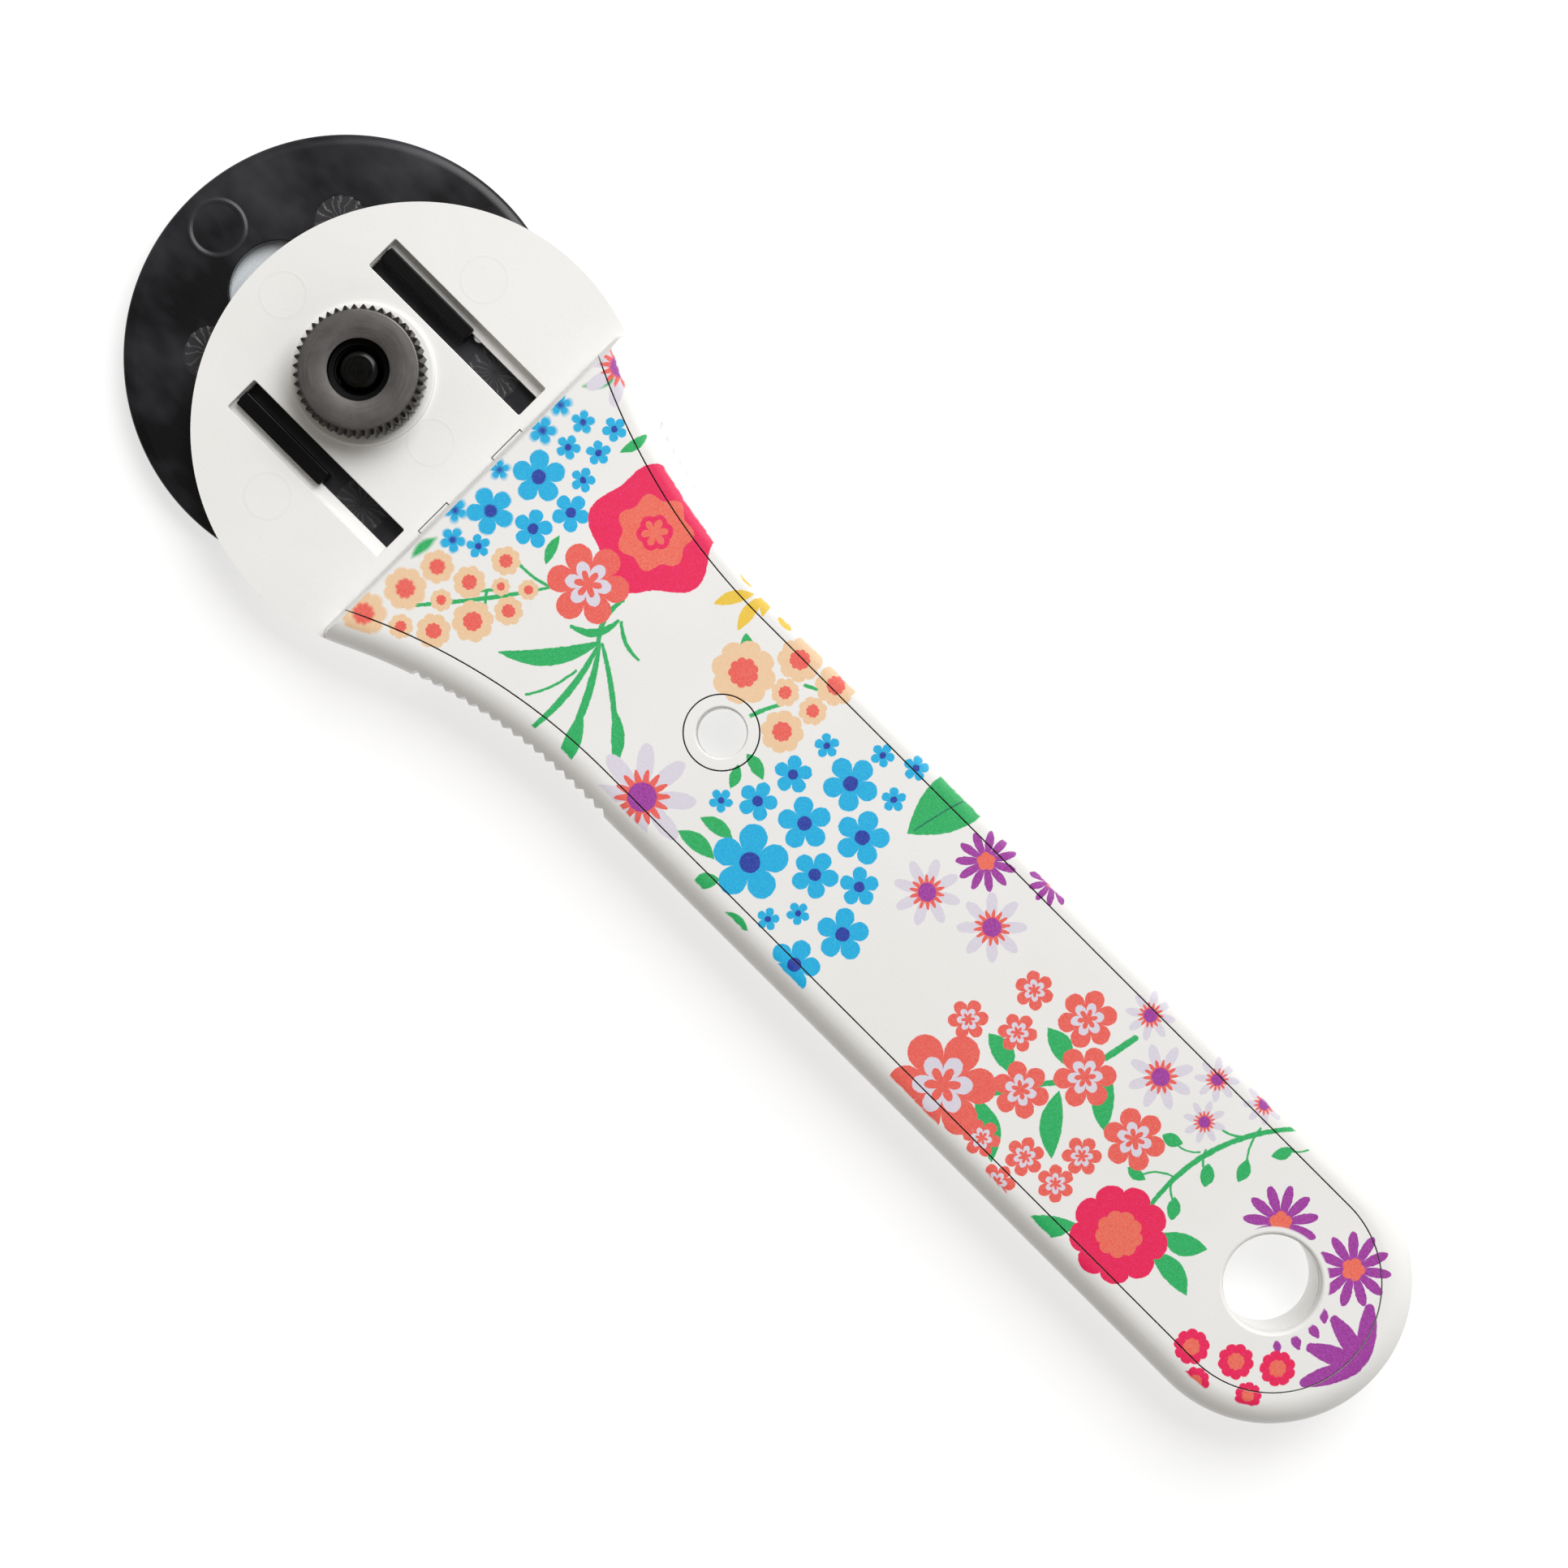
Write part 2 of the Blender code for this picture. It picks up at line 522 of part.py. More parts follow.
def blade_guard():
    top = GUARD_Z + GUARD_THICKNESS
    disc = cylinder("guard_disc", GUARD_RADIUS, GUARD_Z, top, GUARD_CLOSED_X, segments=72)
    middle = GUARD_Z + 0.5 * GUARD_THICKNESS
    bevel_edges(disc, GUARD_EDGE, 1, lambda co: abs(co.z - middle) > 0.4 * GUARD_THICKNESS)
    rear = GUARD_SLOT_HALF - FRONT_BOSS_RADIUS
    slot = stadium(GUARD_CLOSED_X - GUARD_SLOT_FRONT, rear, GUARD_SLOT_HALF)
    cut(disc, prism("guard_slot", slot, GUARD_Z - OVER, top + OVER))
    rail_top = PLATE_TOP - RAIL_TOP_DROP
    lip_z = PLATE_TOP - SLOT_LEDGE_DEPTH + SEAT_GAP
    inner_y = RAIL_OUTER_Y - RAIL_LEG
    for side in (1, -1):
        ys = sorted((side * inner_y, side * RAIL_OUTER_Y))
        leg = box("leg", (RAIL_FRONT_X, ys[0], middle), (RAIL_REAR_X, ys[1], rail_top))
        ys = sorted((side * (inner_y + 0.5 * RAIL_LEG), side * (LEDGE_Y + RAIL_LIP_OVERLAP)))
        lip = box("lip", (RAIL_FRONT_X, ys[0], lip_z), (RAIL_REAR_X, ys[1], rail_top))
        join(disc, join(leg, lip))
    return finish(disc, "blade_guard", material("black_plastic", (0.035, 0.035, 0.04), 0.35, 0.0),
                  (GUARD_CLOSED_X, 0.0, GUARD_Z))


def bolt():
    edge = 0.2 * BOLT_HEAD_THICKNESS
    collar_top = BLADE_Z + BLADE_THICKNESS
    head = turned("head", [(0.0, collar_top), (COLLAR_RADIUS, collar_top),
                           (COLLAR_RADIUS, BOLT_HEAD_THICKNESS), (BOLT_HEAD_RADIUS - edge, BOLT_HEAD_THICKNESS),
                           (BOLT_HEAD_RADIUS, BOLT_HEAD_THICKNESS - edge), (BOLT_HEAD_RADIUS, edge),
                           (BOLT_HEAD_RADIUS - edge, 0.0), (0.0, 0.0)])
    section = double_flat(BOLT_NECK_RADIUS, BOLT_NECK_FLAT)
    neck = prism("neck", section, 0.5 * BOLT_HEAD_THICKNESS, PLATE_TOP)
    end = NUT_TOP - BOLT_END_DROP
    chamfer = 0.15 * THREAD_RADIUS
    shank = turned("shank", [(0.0, end), (THREAD_RADIUS - chamfer, end), (THREAD_RADIUS, end - chamfer),
                             (THREAD_RADIUS, PLATE_Z), (0.0, PLATE_Z)], 36)
    join(head, neck, shank)
    return finish(head, "bolt", material("bolt_steel", (0.10, 0.10, 0.10), 0.35, 1.0))


def spring_washer():
    top = WASHER_Z + WASHER_THICKNESS
    ring = turned("ring", [(THREAD_BORE, top), (WASHER_RADIUS, top), (WASHER_RADIUS, WASHER_Z),
                           (THREAD_BORE, WASHER_Z), (THREAD_BORE, top)], 36)
    for vertex in ring.data.vertices:
        vertex.co.z += WASHER_BOW * (1.0 - (vertex.co.x / WASHER_RADIUS) ** 2)
    return finish(ring, "spring_washer", material("washer_steel", (0.55, 0.55, 0.56), 0.3, 1.0),
                  (0.0, 0.0, WASHER_Z))


def nut():
    """A straight-knurled nut, with a chamfered top, a stepped counterbore and a recess for the washer."""
    turns = [math.pi * i / NUT_TEETH for i in range(2 * NUT_TEETH)]
    reach = [NUT_ROOT_RADIUS if i % 2 else NUT_RADIUS for i in range(2 * NUT_TEETH)]
    star = [(r * math.cos(t), r * math.sin(t)) for r, t in zip(reach, turns)]
    knurled = prism("knurled", star, NUT_Z, NUT_TOP)
    wide = NUT_RADIUS + OVER
    face = NUT_RADIUS - NUT_CHAMFER
    foot = NUT_RADIUS - 0.4 * NUT_CHAMFER
    rings = [[(face - OVER, NUT_TOP + OVER), (wide, NUT_TOP + OVER), (wide, NUT_TOP - NUT_CHAMFER - OVER)],
             [(wide, NUT_Z + 0.4 * NUT_CHAMFER + OVER), (wide, NUT_Z - OVER), (foot - OVER, NUT_Z - OVER)]]
    for profile in rings:
        ring = turned("chamfer", profile + profile[:1], 63)
        ring.rotation_euler.z = 0.4 * math.pi / NUT_TEETH
        cut(knurled, settle(ring))
    step = THREAD_BORE + NUT_STEP_WIDTH
    mouth = step + NUT_COUNTERBORE_WIDTH
    deep = NUT_TOP - NUT_COUNTERBORE_DEPTH
    deeper = deep - NUT_STEP_DEPTH
    roof = NUT_Z + NUT_RECESS
    hollow = turned("hollow", [(0.0, NUT_TOP + OVER), (mouth, NUT_TOP + OVER), (mouth, deep), (step, deep),
                               (step, deeper), (THREAD_BORE, deeper), (THREAD_BORE, roof),
                               (NUT_WELL_RADIUS, roof), (NUT_WELL_RADIUS, NUT_Z - OVER), (0.0, NUT_Z - OVER)])
    cut(knurled, hollow)
    return finish(knurled, "nut", material("nut_steel", (0.12, 0.115, 0.115), 0.4, 1.0), (0.0, 0.0, NUT_Z))


clear_scene()
PARTS = new_collection("rotary_cutter")
SHOP = new_collection("cutters")
ROOT = bpy.data.objects.new("rotary_cutter_root", None)
PARTS.objects.link(ROOT)
handle_body()
back_cover()
bolt()
blade()
blade_guard()
spring_washer()
nut()
bpy.context.view_layer.update()
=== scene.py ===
"""Looks of the rotary cutter: fine meshes for its seven pieces, their materials, and the studio.

Lengths are in millimetres, as the names below give them, and turned into metres where a mesh,
a light or the camera is made. +X runs from the blade axis to the hanging hole, and +Z towards the nut.
"""

from math import acos, asin, atan2, cos, pi, radians, sin, sqrt, tan, tau

import bmesh
import bpy
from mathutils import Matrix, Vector


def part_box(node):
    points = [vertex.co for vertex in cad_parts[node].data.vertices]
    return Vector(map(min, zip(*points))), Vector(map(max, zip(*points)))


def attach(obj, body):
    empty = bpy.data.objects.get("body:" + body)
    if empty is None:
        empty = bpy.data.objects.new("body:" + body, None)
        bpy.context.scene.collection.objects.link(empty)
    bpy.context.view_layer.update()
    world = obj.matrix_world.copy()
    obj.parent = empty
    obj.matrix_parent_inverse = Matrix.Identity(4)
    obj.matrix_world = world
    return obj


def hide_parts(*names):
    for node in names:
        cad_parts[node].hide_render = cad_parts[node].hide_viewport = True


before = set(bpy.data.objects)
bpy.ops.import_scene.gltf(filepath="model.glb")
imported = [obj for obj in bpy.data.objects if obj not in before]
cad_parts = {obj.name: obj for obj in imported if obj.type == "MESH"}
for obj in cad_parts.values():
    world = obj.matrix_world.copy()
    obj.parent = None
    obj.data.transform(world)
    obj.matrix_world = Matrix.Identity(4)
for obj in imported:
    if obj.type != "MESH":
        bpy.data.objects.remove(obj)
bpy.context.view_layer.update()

MM = 0.001


def node_box(node):
    """A CAD node's lowest and highest corners, in millimetres."""
    low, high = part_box(node)
    return low / MM, high / MM


# Heights and reaches that the frame gives
BLADE_LOW, BLADE_HIGH = node_box("blade")
GUARD_LOW, GUARD_HIGH = node_box("blade_guard")
NUT_LOW, NUT_HIGH = node_box("nut")
TOP = node_box("handle_body")[1].z
GUARD_Z = GUARD_LOW.z
BLADE_Z = BLADE_LOW.z
BLADE_TOP = BLADE_HIGH.z
NUT_Z = NUT_LOW.z
NUT_TOP = NUT_HIGH.z
WASHER_Z = node_box("spring_washer")[0].z
BOLT_TOP = node_box("bolt")[1].z
BLADE_RADIUS = BLADE_HIGH.x
GUARD_RADIUS = GUARD_HIGH.y
GUARD_X = (GUARD_LOW.x + GUARD_HIGH.x) / 2

# Handle
PLATE_TOP = 7.3             # the head plate's nut side and blade side
PLATE_Z = 4.3
HEAD_RADIUS = 25.4
HEAD_CENTRE_X = 8.7
NECK_RADIUS = 70.0
GRIP_HALF_WIDTH = 15.85
HANG_HOLE_X = 142.2
HANG_HOLE_RADIUS = 5.4
HANG_TUBE_WALL = 1.8
SMALL_HOLE_X = 56.35
SMALL_HOLE_RADIUS = 2.8
SMALL_TUBE_WALL = 1.35
BACK_ROUND = 3.2
FRONT_ROUND = 2.2
STEP_FOOT_X = 16.9
STEP_LEAN = 0.9
STEP_ROUND = 0.6
STEP_CORNER = 1.3           # how the step's two ends round off, seen from above
STEP_CORNER_Y = 22.5
RECESS_END_X = 32.9
RECESS_ARC = 40.0
SEAM_INSET = 3.8
SEAM_GAP = 0.15
COVER_THICKNESS = 2.0
COVER_LIP = 2.0
LEDGE_WIDTH = 1.0
FLOOR_THICKNESS = 2.0
TAB_PLACES = ((3.6, 7.9), (-7.9, -3.6))
TAB_X = 16.65
TAB_DEPTH = 0.9
TAB_GAP = 0.13              # the line seen round each tab
HOLE_ROUND = 0.5
SMALL_ROUND = 0.12          # softened edges of mouldings
SEAM_ROUND = 0.06
CLEAR = 0.3
OVER = 2.0                  # how far cutters run past what they cut
FAR = 400.0                 # further out than anything here

# Serrations
TOOTH_FIRST_X = 27.9
TOOTH_PITCH = 1.5
TOOTH_COUNT = 18
TOOTH_DEPTH = 0.68
TOOTH_SOFTNESS = 0.04
TOOTH_POINTS = 14

# Guide slots and rails
SLOT_FRONT_X = -8.2
SLOT_REAR_X = 15.4
SLOT_INNER_Y = 9.0
SLOT_OUTER_Y = 11.85
LEDGE_OUTER_Y = 13.2
LEDGE_Z = 5.7
RAIL_FRONT_X = -7.9
RAIL_REAR_X = 5.1
RAIL_INNER_Y = 10.45
RAIL_OUTER_Y = 11.3
RAIL_LIP_Y = 12.25
RAIL_TOP = 6.95
DETENT_RADIUS = 0.6
DETENT_X = 5.85
DETENT_Y = 12.1
PIN_RADIUS = 2.6            # faint ejector pin marks on the head plate
PIN_MARKS = ((-12.6, 0.0), (2.0, 17.0), (2.0, -17.0), (10.6, 0.0))

# Blade, guard, bolt, washer and nut
GUARD_TOP = 4.0
BLADE_HOLE = 4.0
BEVEL_WIDTH = 1.5
GUARD_RIM_WIDTH = 1.3
GUARD_RIM_DROP = 0.45
GROOVE_INNER = 21.7
GROOVE_OUTER = 22.3
GUARD_SLOT_RADIUS = 5.7
GUARD_SLOT_REACH = 10.4
EJECTOR_RADIUS = 3.1
EJECTOR_DEPTH = 0.05
EJECTOR_MARKS = ((-20.4, 0.0), (-11.0, 10.3), (-11.0, -10.3), (13.0, 10.5), (13.0, -10.5))
BOLT_HEAD_RADIUS = 7.6
BOLT_HEAD_THICKNESS = 1.5
COLLAR_RADIUS = 3.7
NECK_HALF_FLAT = 2.5
NECK_ROUND_RADIUS = 3.2
THREAD_RADIUS = 2.3
THREAD_PITCH = 0.8
THREAD_DEPTH = 0.4
BORE_RADIUS = 2.6
FRONT_BOSS_RADIUS = 5.2
NUT_BOSS_RADIUS = 8.0
NUT_BOSS_TOP = 7.8
WASHER_RADIUS = 5.2
WASHER_THICKNESS = 0.4
WASHER_BOW = 0.4
NUT_RADIUS = 7.35
NUT_ROOT = 6.73
NUT_TEETH = 44
NUT_FACE = 6.6
NUT_MOUTH = 3.43
NUT_MOUTH_DEPTH = 1.2
NUT_STEP = 2.8
NUT_STEP_DEPTH = 0.7
NUT_WELL = 5.5
NUT_WELL_DEPTH = 1.1

NECK_CENTRE_Y = GRIP_HALF_WIDTH + NECK_RADIUS
NECK_CENTRE_X = HEAD_CENTRE_X + sqrt((HEAD_RADIUS + NECK_RADIUS) ** 2 - NECK_CENTRE_Y ** 2)
NECK_ANGLE = acos(NECK_CENTRE_Y / (HEAD_RADIUS + NECK_RADIUS))
SLANT_TOP_X = STEP_FOOT_X + STEP_LEAN
SHELF_Z = TOP - COVER_THICKNESS
QUARTER = pi / 2


# ---- meshes

def new_object(name, shape):
    mesh = bpy.data.meshes.new(name)
    bmesh.ops.recalc_face_normals(shape, faces=shape.faces)
    shape.to_mesh(mesh)
    shape.free()
    obj = bpy.data.objects.new(name, mesh)
    bpy.context.scene.collection.objects.link(obj)
    return obj


def loft(name, rings, closed=False):
    """Rings of the same number of points, joined by faces, with the end rings capped or joined to each other."""
    shape = bmesh.new()
    grid = [[shape.verts.new([c * MM for c in point]) for point in ring] for ring in rings]
    bands = list(zip(grid, grid[1:]))
    if closed:
        bands.append((grid[-1], grid[0]))
    for near, far in bands:
        for i in range(len(near)):
            j = (i + 1) % len(near)
            shape.faces.new((near[i], near[j], far[j], far[i]))
    if not closed:
        shape.faces.new(grid[0][::-1])
        shape.faces.new(grid[-1])
    return new_object(name, shape)


def stack(name, loop_at, path):
    """A solid whose plan at each (inset, z) of the path is loop_at(inset)."""
    return loft(name, [[(x, y, z) for x, y in loop_at(inset)] for inset, z in path])


def quarter(start, end, steps, z_first):
    """A quarter of an ellipse from one (inset, z) to another, leaving along z or along the inset."""
    (a, b), (c, d) = start, end
    points = []
    for k in range(steps + 1):
        turn = QUARTER * k / steps
        slow, fast = 1 - cos(turn), sin(turn)
        points.append((a + (c - a) * (slow if z_first else fast), b + (d - b) * (fast if z_first else slow)))
    return points


def mouth(top, edge, depth, steps=4):
    """Path of a cutter that comes up to a face at top and leaves its rim rounded."""
    return [(0, depth)] + quarter((0, top - edge), (-edge, top + 0.003), steps, True) + [(-edge, top + OVER)]


def through_mouth(bottom, top, edge, steps=4):
    """Path of a cutter that goes right through, and leaves both rims rounded."""
    upper = mouth(top, edge, top, steps)[1:]
    return [(inset, bottom + top - z) for inset, z in reversed(upper)] + upper


def arc(x, y, radius, start, end, steps):
    turns = [start + (end - start) * i / steps for i in range(steps + 1)]
    return [(x + radius * cos(t), y + radius * sin(t)) for t in turns]


def circle(x, y, radius, steps=96):
    """Plan of a round piece, whose inset makes it smaller."""
    return lambda inset: arc(x, y, radius - inset, 0.0, tau, steps)[:-1]


def rounded_box(x0, x1, y0, y1, corner=0.3, steps=4):
    def loop(inset):
        r = max(corner - inset, 0.02)
        a, b, c, d = x0 + inset + r, x1 - inset - r, y0 + inset + r, y1 - inset - r
        return (arc(b, d, r, 0, QUARTER, steps) + arc(a, d, r, QUARTER, pi, steps)
                + arc(a, c, r, pi, 3 * QUARTER, steps)
                + arc(b, c, r, 3 * QUARTER, tau, steps))
    return loop


def stadium(x0, x1, radius, steps=32):
    def loop(inset):
        r = radius - inset
        return (arc(x1, 0, r, -QUARTER, QUARTER, steps)
                + arc(x0, 0, r, QUARTER, 3 * QUARTER, steps))
    return loop


def double_flat(radius, flat, steps=16):
    def loop(inset):
        lean = asin((flat - inset) / (radius - inset))
        right = arc(0, 0, radius - inset, -lean, lean, steps)
        return right + [(-x, -y) for x, y in right]
    return loop


def handle_plan(inset):
    """The handle seen from above, moved inwards all round by inset."""
    meet = QUARTER - NECK_ANGLE
    head = arc(HEAD_CENTRE_X, 0, HEAD_RADIUS - inset, pi, meet, 72)
    neck = arc(NECK_CENTRE_X, NECK_CENTRE_Y, NECK_RADIUS + inset, -QUARTER - NECK_ANGLE, -QUARTER, 24)
    end = arc(HANG_HOLE_X, 0, GRIP_HALF_WIDTH - inset, QUARTER, 0, 40)
    upper = head + neck[1:] + end
    return upper + [(x, -y) for x, y in reversed(upper[1:-1])]


def boolean(obj, other, operation):
    step = obj.modifiers.new(other.name, "BOOLEAN")
    step.operation = operation
    step.solver = "EXACT"
    step.object = other
    bpy.context.view_layer.update()
    graph = bpy.context.evaluated_depsgraph_get()
    mesh = bpy.data.meshes.new_from_object(obj.evaluated_get(graph))
    obj.modifiers.clear()
    old = obj.data
    obj.data = mesh
    bpy.data.meshes.remove(old)
    bpy.data.objects.remove(other, do_unlink=True)
    return obj


def cut(obj, *others):
    for other in others:
        boolean(obj, other, "DIFFERENCE")
    return obj


def join(obj, *others):
    for other in others:
        boolean(obj, other, "UNION")
    return obj


def block(name, low, high):
    return stack(name, lambda inset: [(low[0], low[1]), (high[0], low[1]), (high[0], high[1]), (low[0], high[1])],
                 [(0, low[2]), (0, high[2])])


def turned(name, profile, steps=128, closed=False, x=0.0):
    """A profile of (radius, z) points turned about an upright axis."""
    turns = [tau * i / steps for i in range(steps)]
    return loft(name, [[(x + radius * cos(t), radius * sin(t), z) for t in turns] for radius, z in profile],
                closed)


def softened(profile, edge, steps=3):
    """A closed profile of (radius, z) points with every corner rounded."""
    points = []
    for i, corner in enumerate(profile):
        corner = Vector(corner)
        before = Vector(profile[i - 1]) - corner
        after = Vector(profile[(i + 1) % len(profile)]) - corner
        reach = min(edge, 0.45 * before.length, 0.45 * after.length)
        first = corner + before.normalized() * reach
        last = corner + after.normalized() * reach
        for k in range(steps + 1):
            t = k / steps
            points.append(tuple(first * (1 - t) ** 2 + corner * 2 * t * (1 - t) + last * t ** 2))
    return points


def zoned(obj):
    """Cuts a white piece's upper skin at the ends of the print's zones and gives each part its zone's material."""
    shape = bmesh.new()
    shape.from_mesh(obj.data)
    for zone in range(1, PRINT_ZONES):
        upper = [face for face in shape.faces if face.calc_center_median().z > (TOP - 2 * PRINT_DROP) * MM]
        parts = upper + list({edge for face in upper for edge in face.edges}) \
            + list({vert for face in upper for vert in face.verts})
        bmesh.ops.bisect_plane(shape, geom=parts, plane_co=(zone_ends(zone)[0] * MM, 0, 0), plane_no=(1, 0, 0),
                               dist=1e-7)
    for face in shape.faces:
        x, _, z = face.calc_center_median() / MM
        share = (x - STEP_FOOT_X) / (zone_ends(0)[1] - STEP_FOOT_X)
        if z > TOP - 2 * PRINT_DROP and share > -0.1:
            face.material_index = 1 + min(PRINT_ZONES - 1, max(0, int(share)))
    shape.to_mesh(obj.data)
    shape.free()
    return obj


def finish(obj, name, body, slot, looks, *nodes, angle=32):
    """Names a finished piece, smooths it, and sets it on its body in place of its CAD node."""
    obj.name = name
    obj.data.name = name
    obj.data.materials.clear()
    for look in looks:
        obj.data.materials.append(look)
    if len(looks) > 1:
        zoned(obj)
    obj.data.shade_smooth()
    obj.data.set_sharp_from_angle(angle=radians(angle))
    even = obj.modifiers.new("Even shading", "WEIGHTED_NORMAL")
    even.keep_sharp = True
    even.weight = 80
    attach(obj, body)
    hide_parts(*nodes)
    return obj


# ---- node materials

def feed(tree, socket, value):
    if isinstance(value, bpy.types.NodeSocket):
        tree.links.new(value, socket)
    elif isinstance(value, (tuple, list)) and len(value) == 3 and socket.type == "RGBA":
        socket.default_value = (*value, 1.0)
    else:
        socket.default_value = value


def maths(tree, operation, *values):
    node = tree.nodes.new("ShaderNodeMath")
    node.operation = operation
    for socket, value in zip(node.inputs, values):
        feed(tree, socket, value)
    return node.outputs[0]


def times(tree, first, second):
    return maths(tree, "MULTIPLY", first, second)


def clamp(tree, value):
    node = tree.nodes.new("ShaderNodeClamp")
    feed(tree, node.inputs[0], value)
    return node.outputs[0]


def vector(tree, operation, *values):
    node = tree.nodes.new("ShaderNodeVectorMath")
    node.operation = operation
    for socket, value in zip(node.inputs, values):
        if operation == "SCALE" and value is values[-1]:
            socket = node.inputs["Scale"]
        feed(tree, socket, value)
    return node.outputs["Value" if operation in ("LENGTH", "DOT_PRODUCT") else "Vector"]


def combine(tree, x, y, z=0.0):
    node = tree.nodes.new("ShaderNodeCombineXYZ")
    for socket, value in zip(node.inputs, (x, y, z)):
        feed(tree, socket, value)
    return node.outputs[0]


def separate(tree, value):
    node = tree.nodes.new("ShaderNodeSeparateXYZ")
    feed(tree, node.inputs[0], value)
    return node.outputs


def mix(tree, share, first, second, blend="MIX"):
    node = tree.nodes.new("ShaderNodeMix")
    node.data_type = "RGBA"
    node.blend_type = blend
    feed(tree, node.inputs[0], share)
    feed(tree, node.inputs[6], first)
    feed(tree, node.inputs[7], second)
    return node.outputs[2]


def ramp(tree, value, low, high, out_low=0.0, out_high=1.0):
    node = tree.nodes.new("ShaderNodeMapRange")
    node.clamp = True
    for socket, given in zip(node.inputs, (value, low, high, out_low, out_high)):
        feed(tree, socket, given)
    return node.outputs[0]


def noise(tree, place, scale, detail=2.0, rough=0.5, stretch=None, output="Fac"):
    """Noise of a size given in cells to the millimetre."""
    if stretch:
        place = vector(tree, "MULTIPLY", place, stretch)
    node = tree.nodes.new("ShaderNodeTexNoise")
    feed(tree, node.inputs["Vector"], place)
    node.inputs["Scale"].default_value = scale
    node.inputs["Detail"].default_value = detail
    node.inputs["Roughness"].default_value = rough
    return node.outputs[output]


def flat_length(tree, value):
    """How long a vector is, seen from above."""
    return vector(tree, "LENGTH", vector(tree, "MULTIPLY", value, (1.0, 1.0, 0.0)))


def circle_line(tree, radius, at, thin, thick):
    """1 on a circle, fading to 0 at its line's thick half-width."""
    away = maths(tree, "ABSOLUTE", maths(tree, "SUBTRACT", radius, at))
    return maths(tree, "SUBTRACT", 1.0, ramp(tree, away, thin, thick))


def bump(tree, height, depth, below=None):
    """Normals for a height from 0 to 1 that stands for a depth in millimetres."""
    node = tree.nodes.new("ShaderNodeBump")
    node.inputs["Strength"].default_value = 1.0
    node.inputs["Distance"].default_value = depth * MM
    feed(tree, node.inputs["Height"], height)
    if below is not None:
        feed(tree, node.inputs["Normal"], below)
    return node.outputs["Normal"]


def new_material(name):
    """A material, its node tree, its shader, and where a point of its surface is, in millimetres."""
    made = bpy.data.materials.new(name)
    made.use_nodes = True
    tree = made.node_tree
    where = tree.nodes.new("ShaderNodeTexCoord").outputs["Object"]
    return made, tree, tree.nodes["Principled BSDF"].inputs, vector(tree, "SCALE", where, 1.0 / MM)


def surface(tree, inputs, colour, rough, normal):
    for name, value in (("Base Color", colour), ("Roughness", rough), ("Normal", normal)):
        feed(tree, inputs[name], value)


# ---- printed flowers

BLUE = (0.013, 0.52, 0.93)
DEEP_BLUE = (0.022, 0.06, 0.45)
PEACH = (1.0, 0.70, 0.44)
CORAL = (0.98, 0.155, 0.125)
CRIMSON = (0.97, 0.017, 0.125)
ORANGE = (1.0, 0.19, 0.13)
LILAC = (0.84, 0.80, 0.93)
VIOLET = (0.42, 0.055, 0.43)
GREEN = (0.030, 0.52, 0.155)
DEEP_GREEN = (0.012, 0.20, 0.13)
YELLOW = (1.0, 0.68, 0.075)
BARE = (1.0, 1.0, 1.0)


def group(name, inputs, outputs):
    """A node group, its inputs and its outputs, which are given as {name: type}."""
    tree = bpy.data.node_groups.new(name, "ShaderNodeTree")
    for way, sockets in (("INPUT", inputs), ("OUTPUT", outputs)):
        for socket, kind in sockets.items():
            tree.interface.new_socket(socket, in_out=way, socket_type="NodeSocket" + kind)
    return tree, tree.nodes.new("NodeGroupInput").outputs, tree.nodes.new("NodeGroupOutput").inputs


def paint_group(name, *numbers):
    """A node group that paints over a colour at a point, with a blurred edge."""
    inputs = {"Colour": "Color", "Point": "Vector", "Blur": "Float", **dict.fromkeys(numbers, "Float")}
    return group(name, inputs, {"Colour": "Color"})


def flower_group(name, layers):
    """One kind of flower. A layer is (petals, reach, waist, fullness, ink), and its edge lies at
    waist + (reach - waist) * |cos(petals * angle / 2)| ** fullness. A layer with no petals is round."""
    tree, given, out = paint_group(name, "X", "Y", "Radius", "Turn")
    away = vector(tree, "SUBTRACT", given["Point"], combine(tree, given["X"], given["Y"]))
    radius = maths(tree, "DIVIDE", flat_length(tree, away), given["Radius"])
    angle = maths(tree, "ARCTAN2", vector(tree, "DOT_PRODUCT", away, (0.0, 1.0, 0.0)),
                  vector(tree, "DOT_PRODUCT", away, (1.0, 0.0, 0.0)))
    angle = maths(tree, "ADD", angle, given["Turn"])
    sharp = maths(tree, "DIVIDE", given["Radius"], given["Blur"])
    colour = given["Colour"]
    for petals, reach, waist, fullness, ink in layers:
        edge = reach
        if petals:
            wave = maths(tree, "ABSOLUTE", maths(tree, "COSINE", times(tree, angle, petals / 2)))
            edge = maths(tree, "MULTIPLY_ADD", maths(tree, "POWER", wave, fullness), reach - waist, waist)
        mask = maths(tree, "MULTIPLY_ADD", maths(tree, "SUBTRACT", edge, radius), sharp, 0.5)
        colour = mix(tree, mask, colour, ink)
    feed(tree, out[0], colour)
    return tree


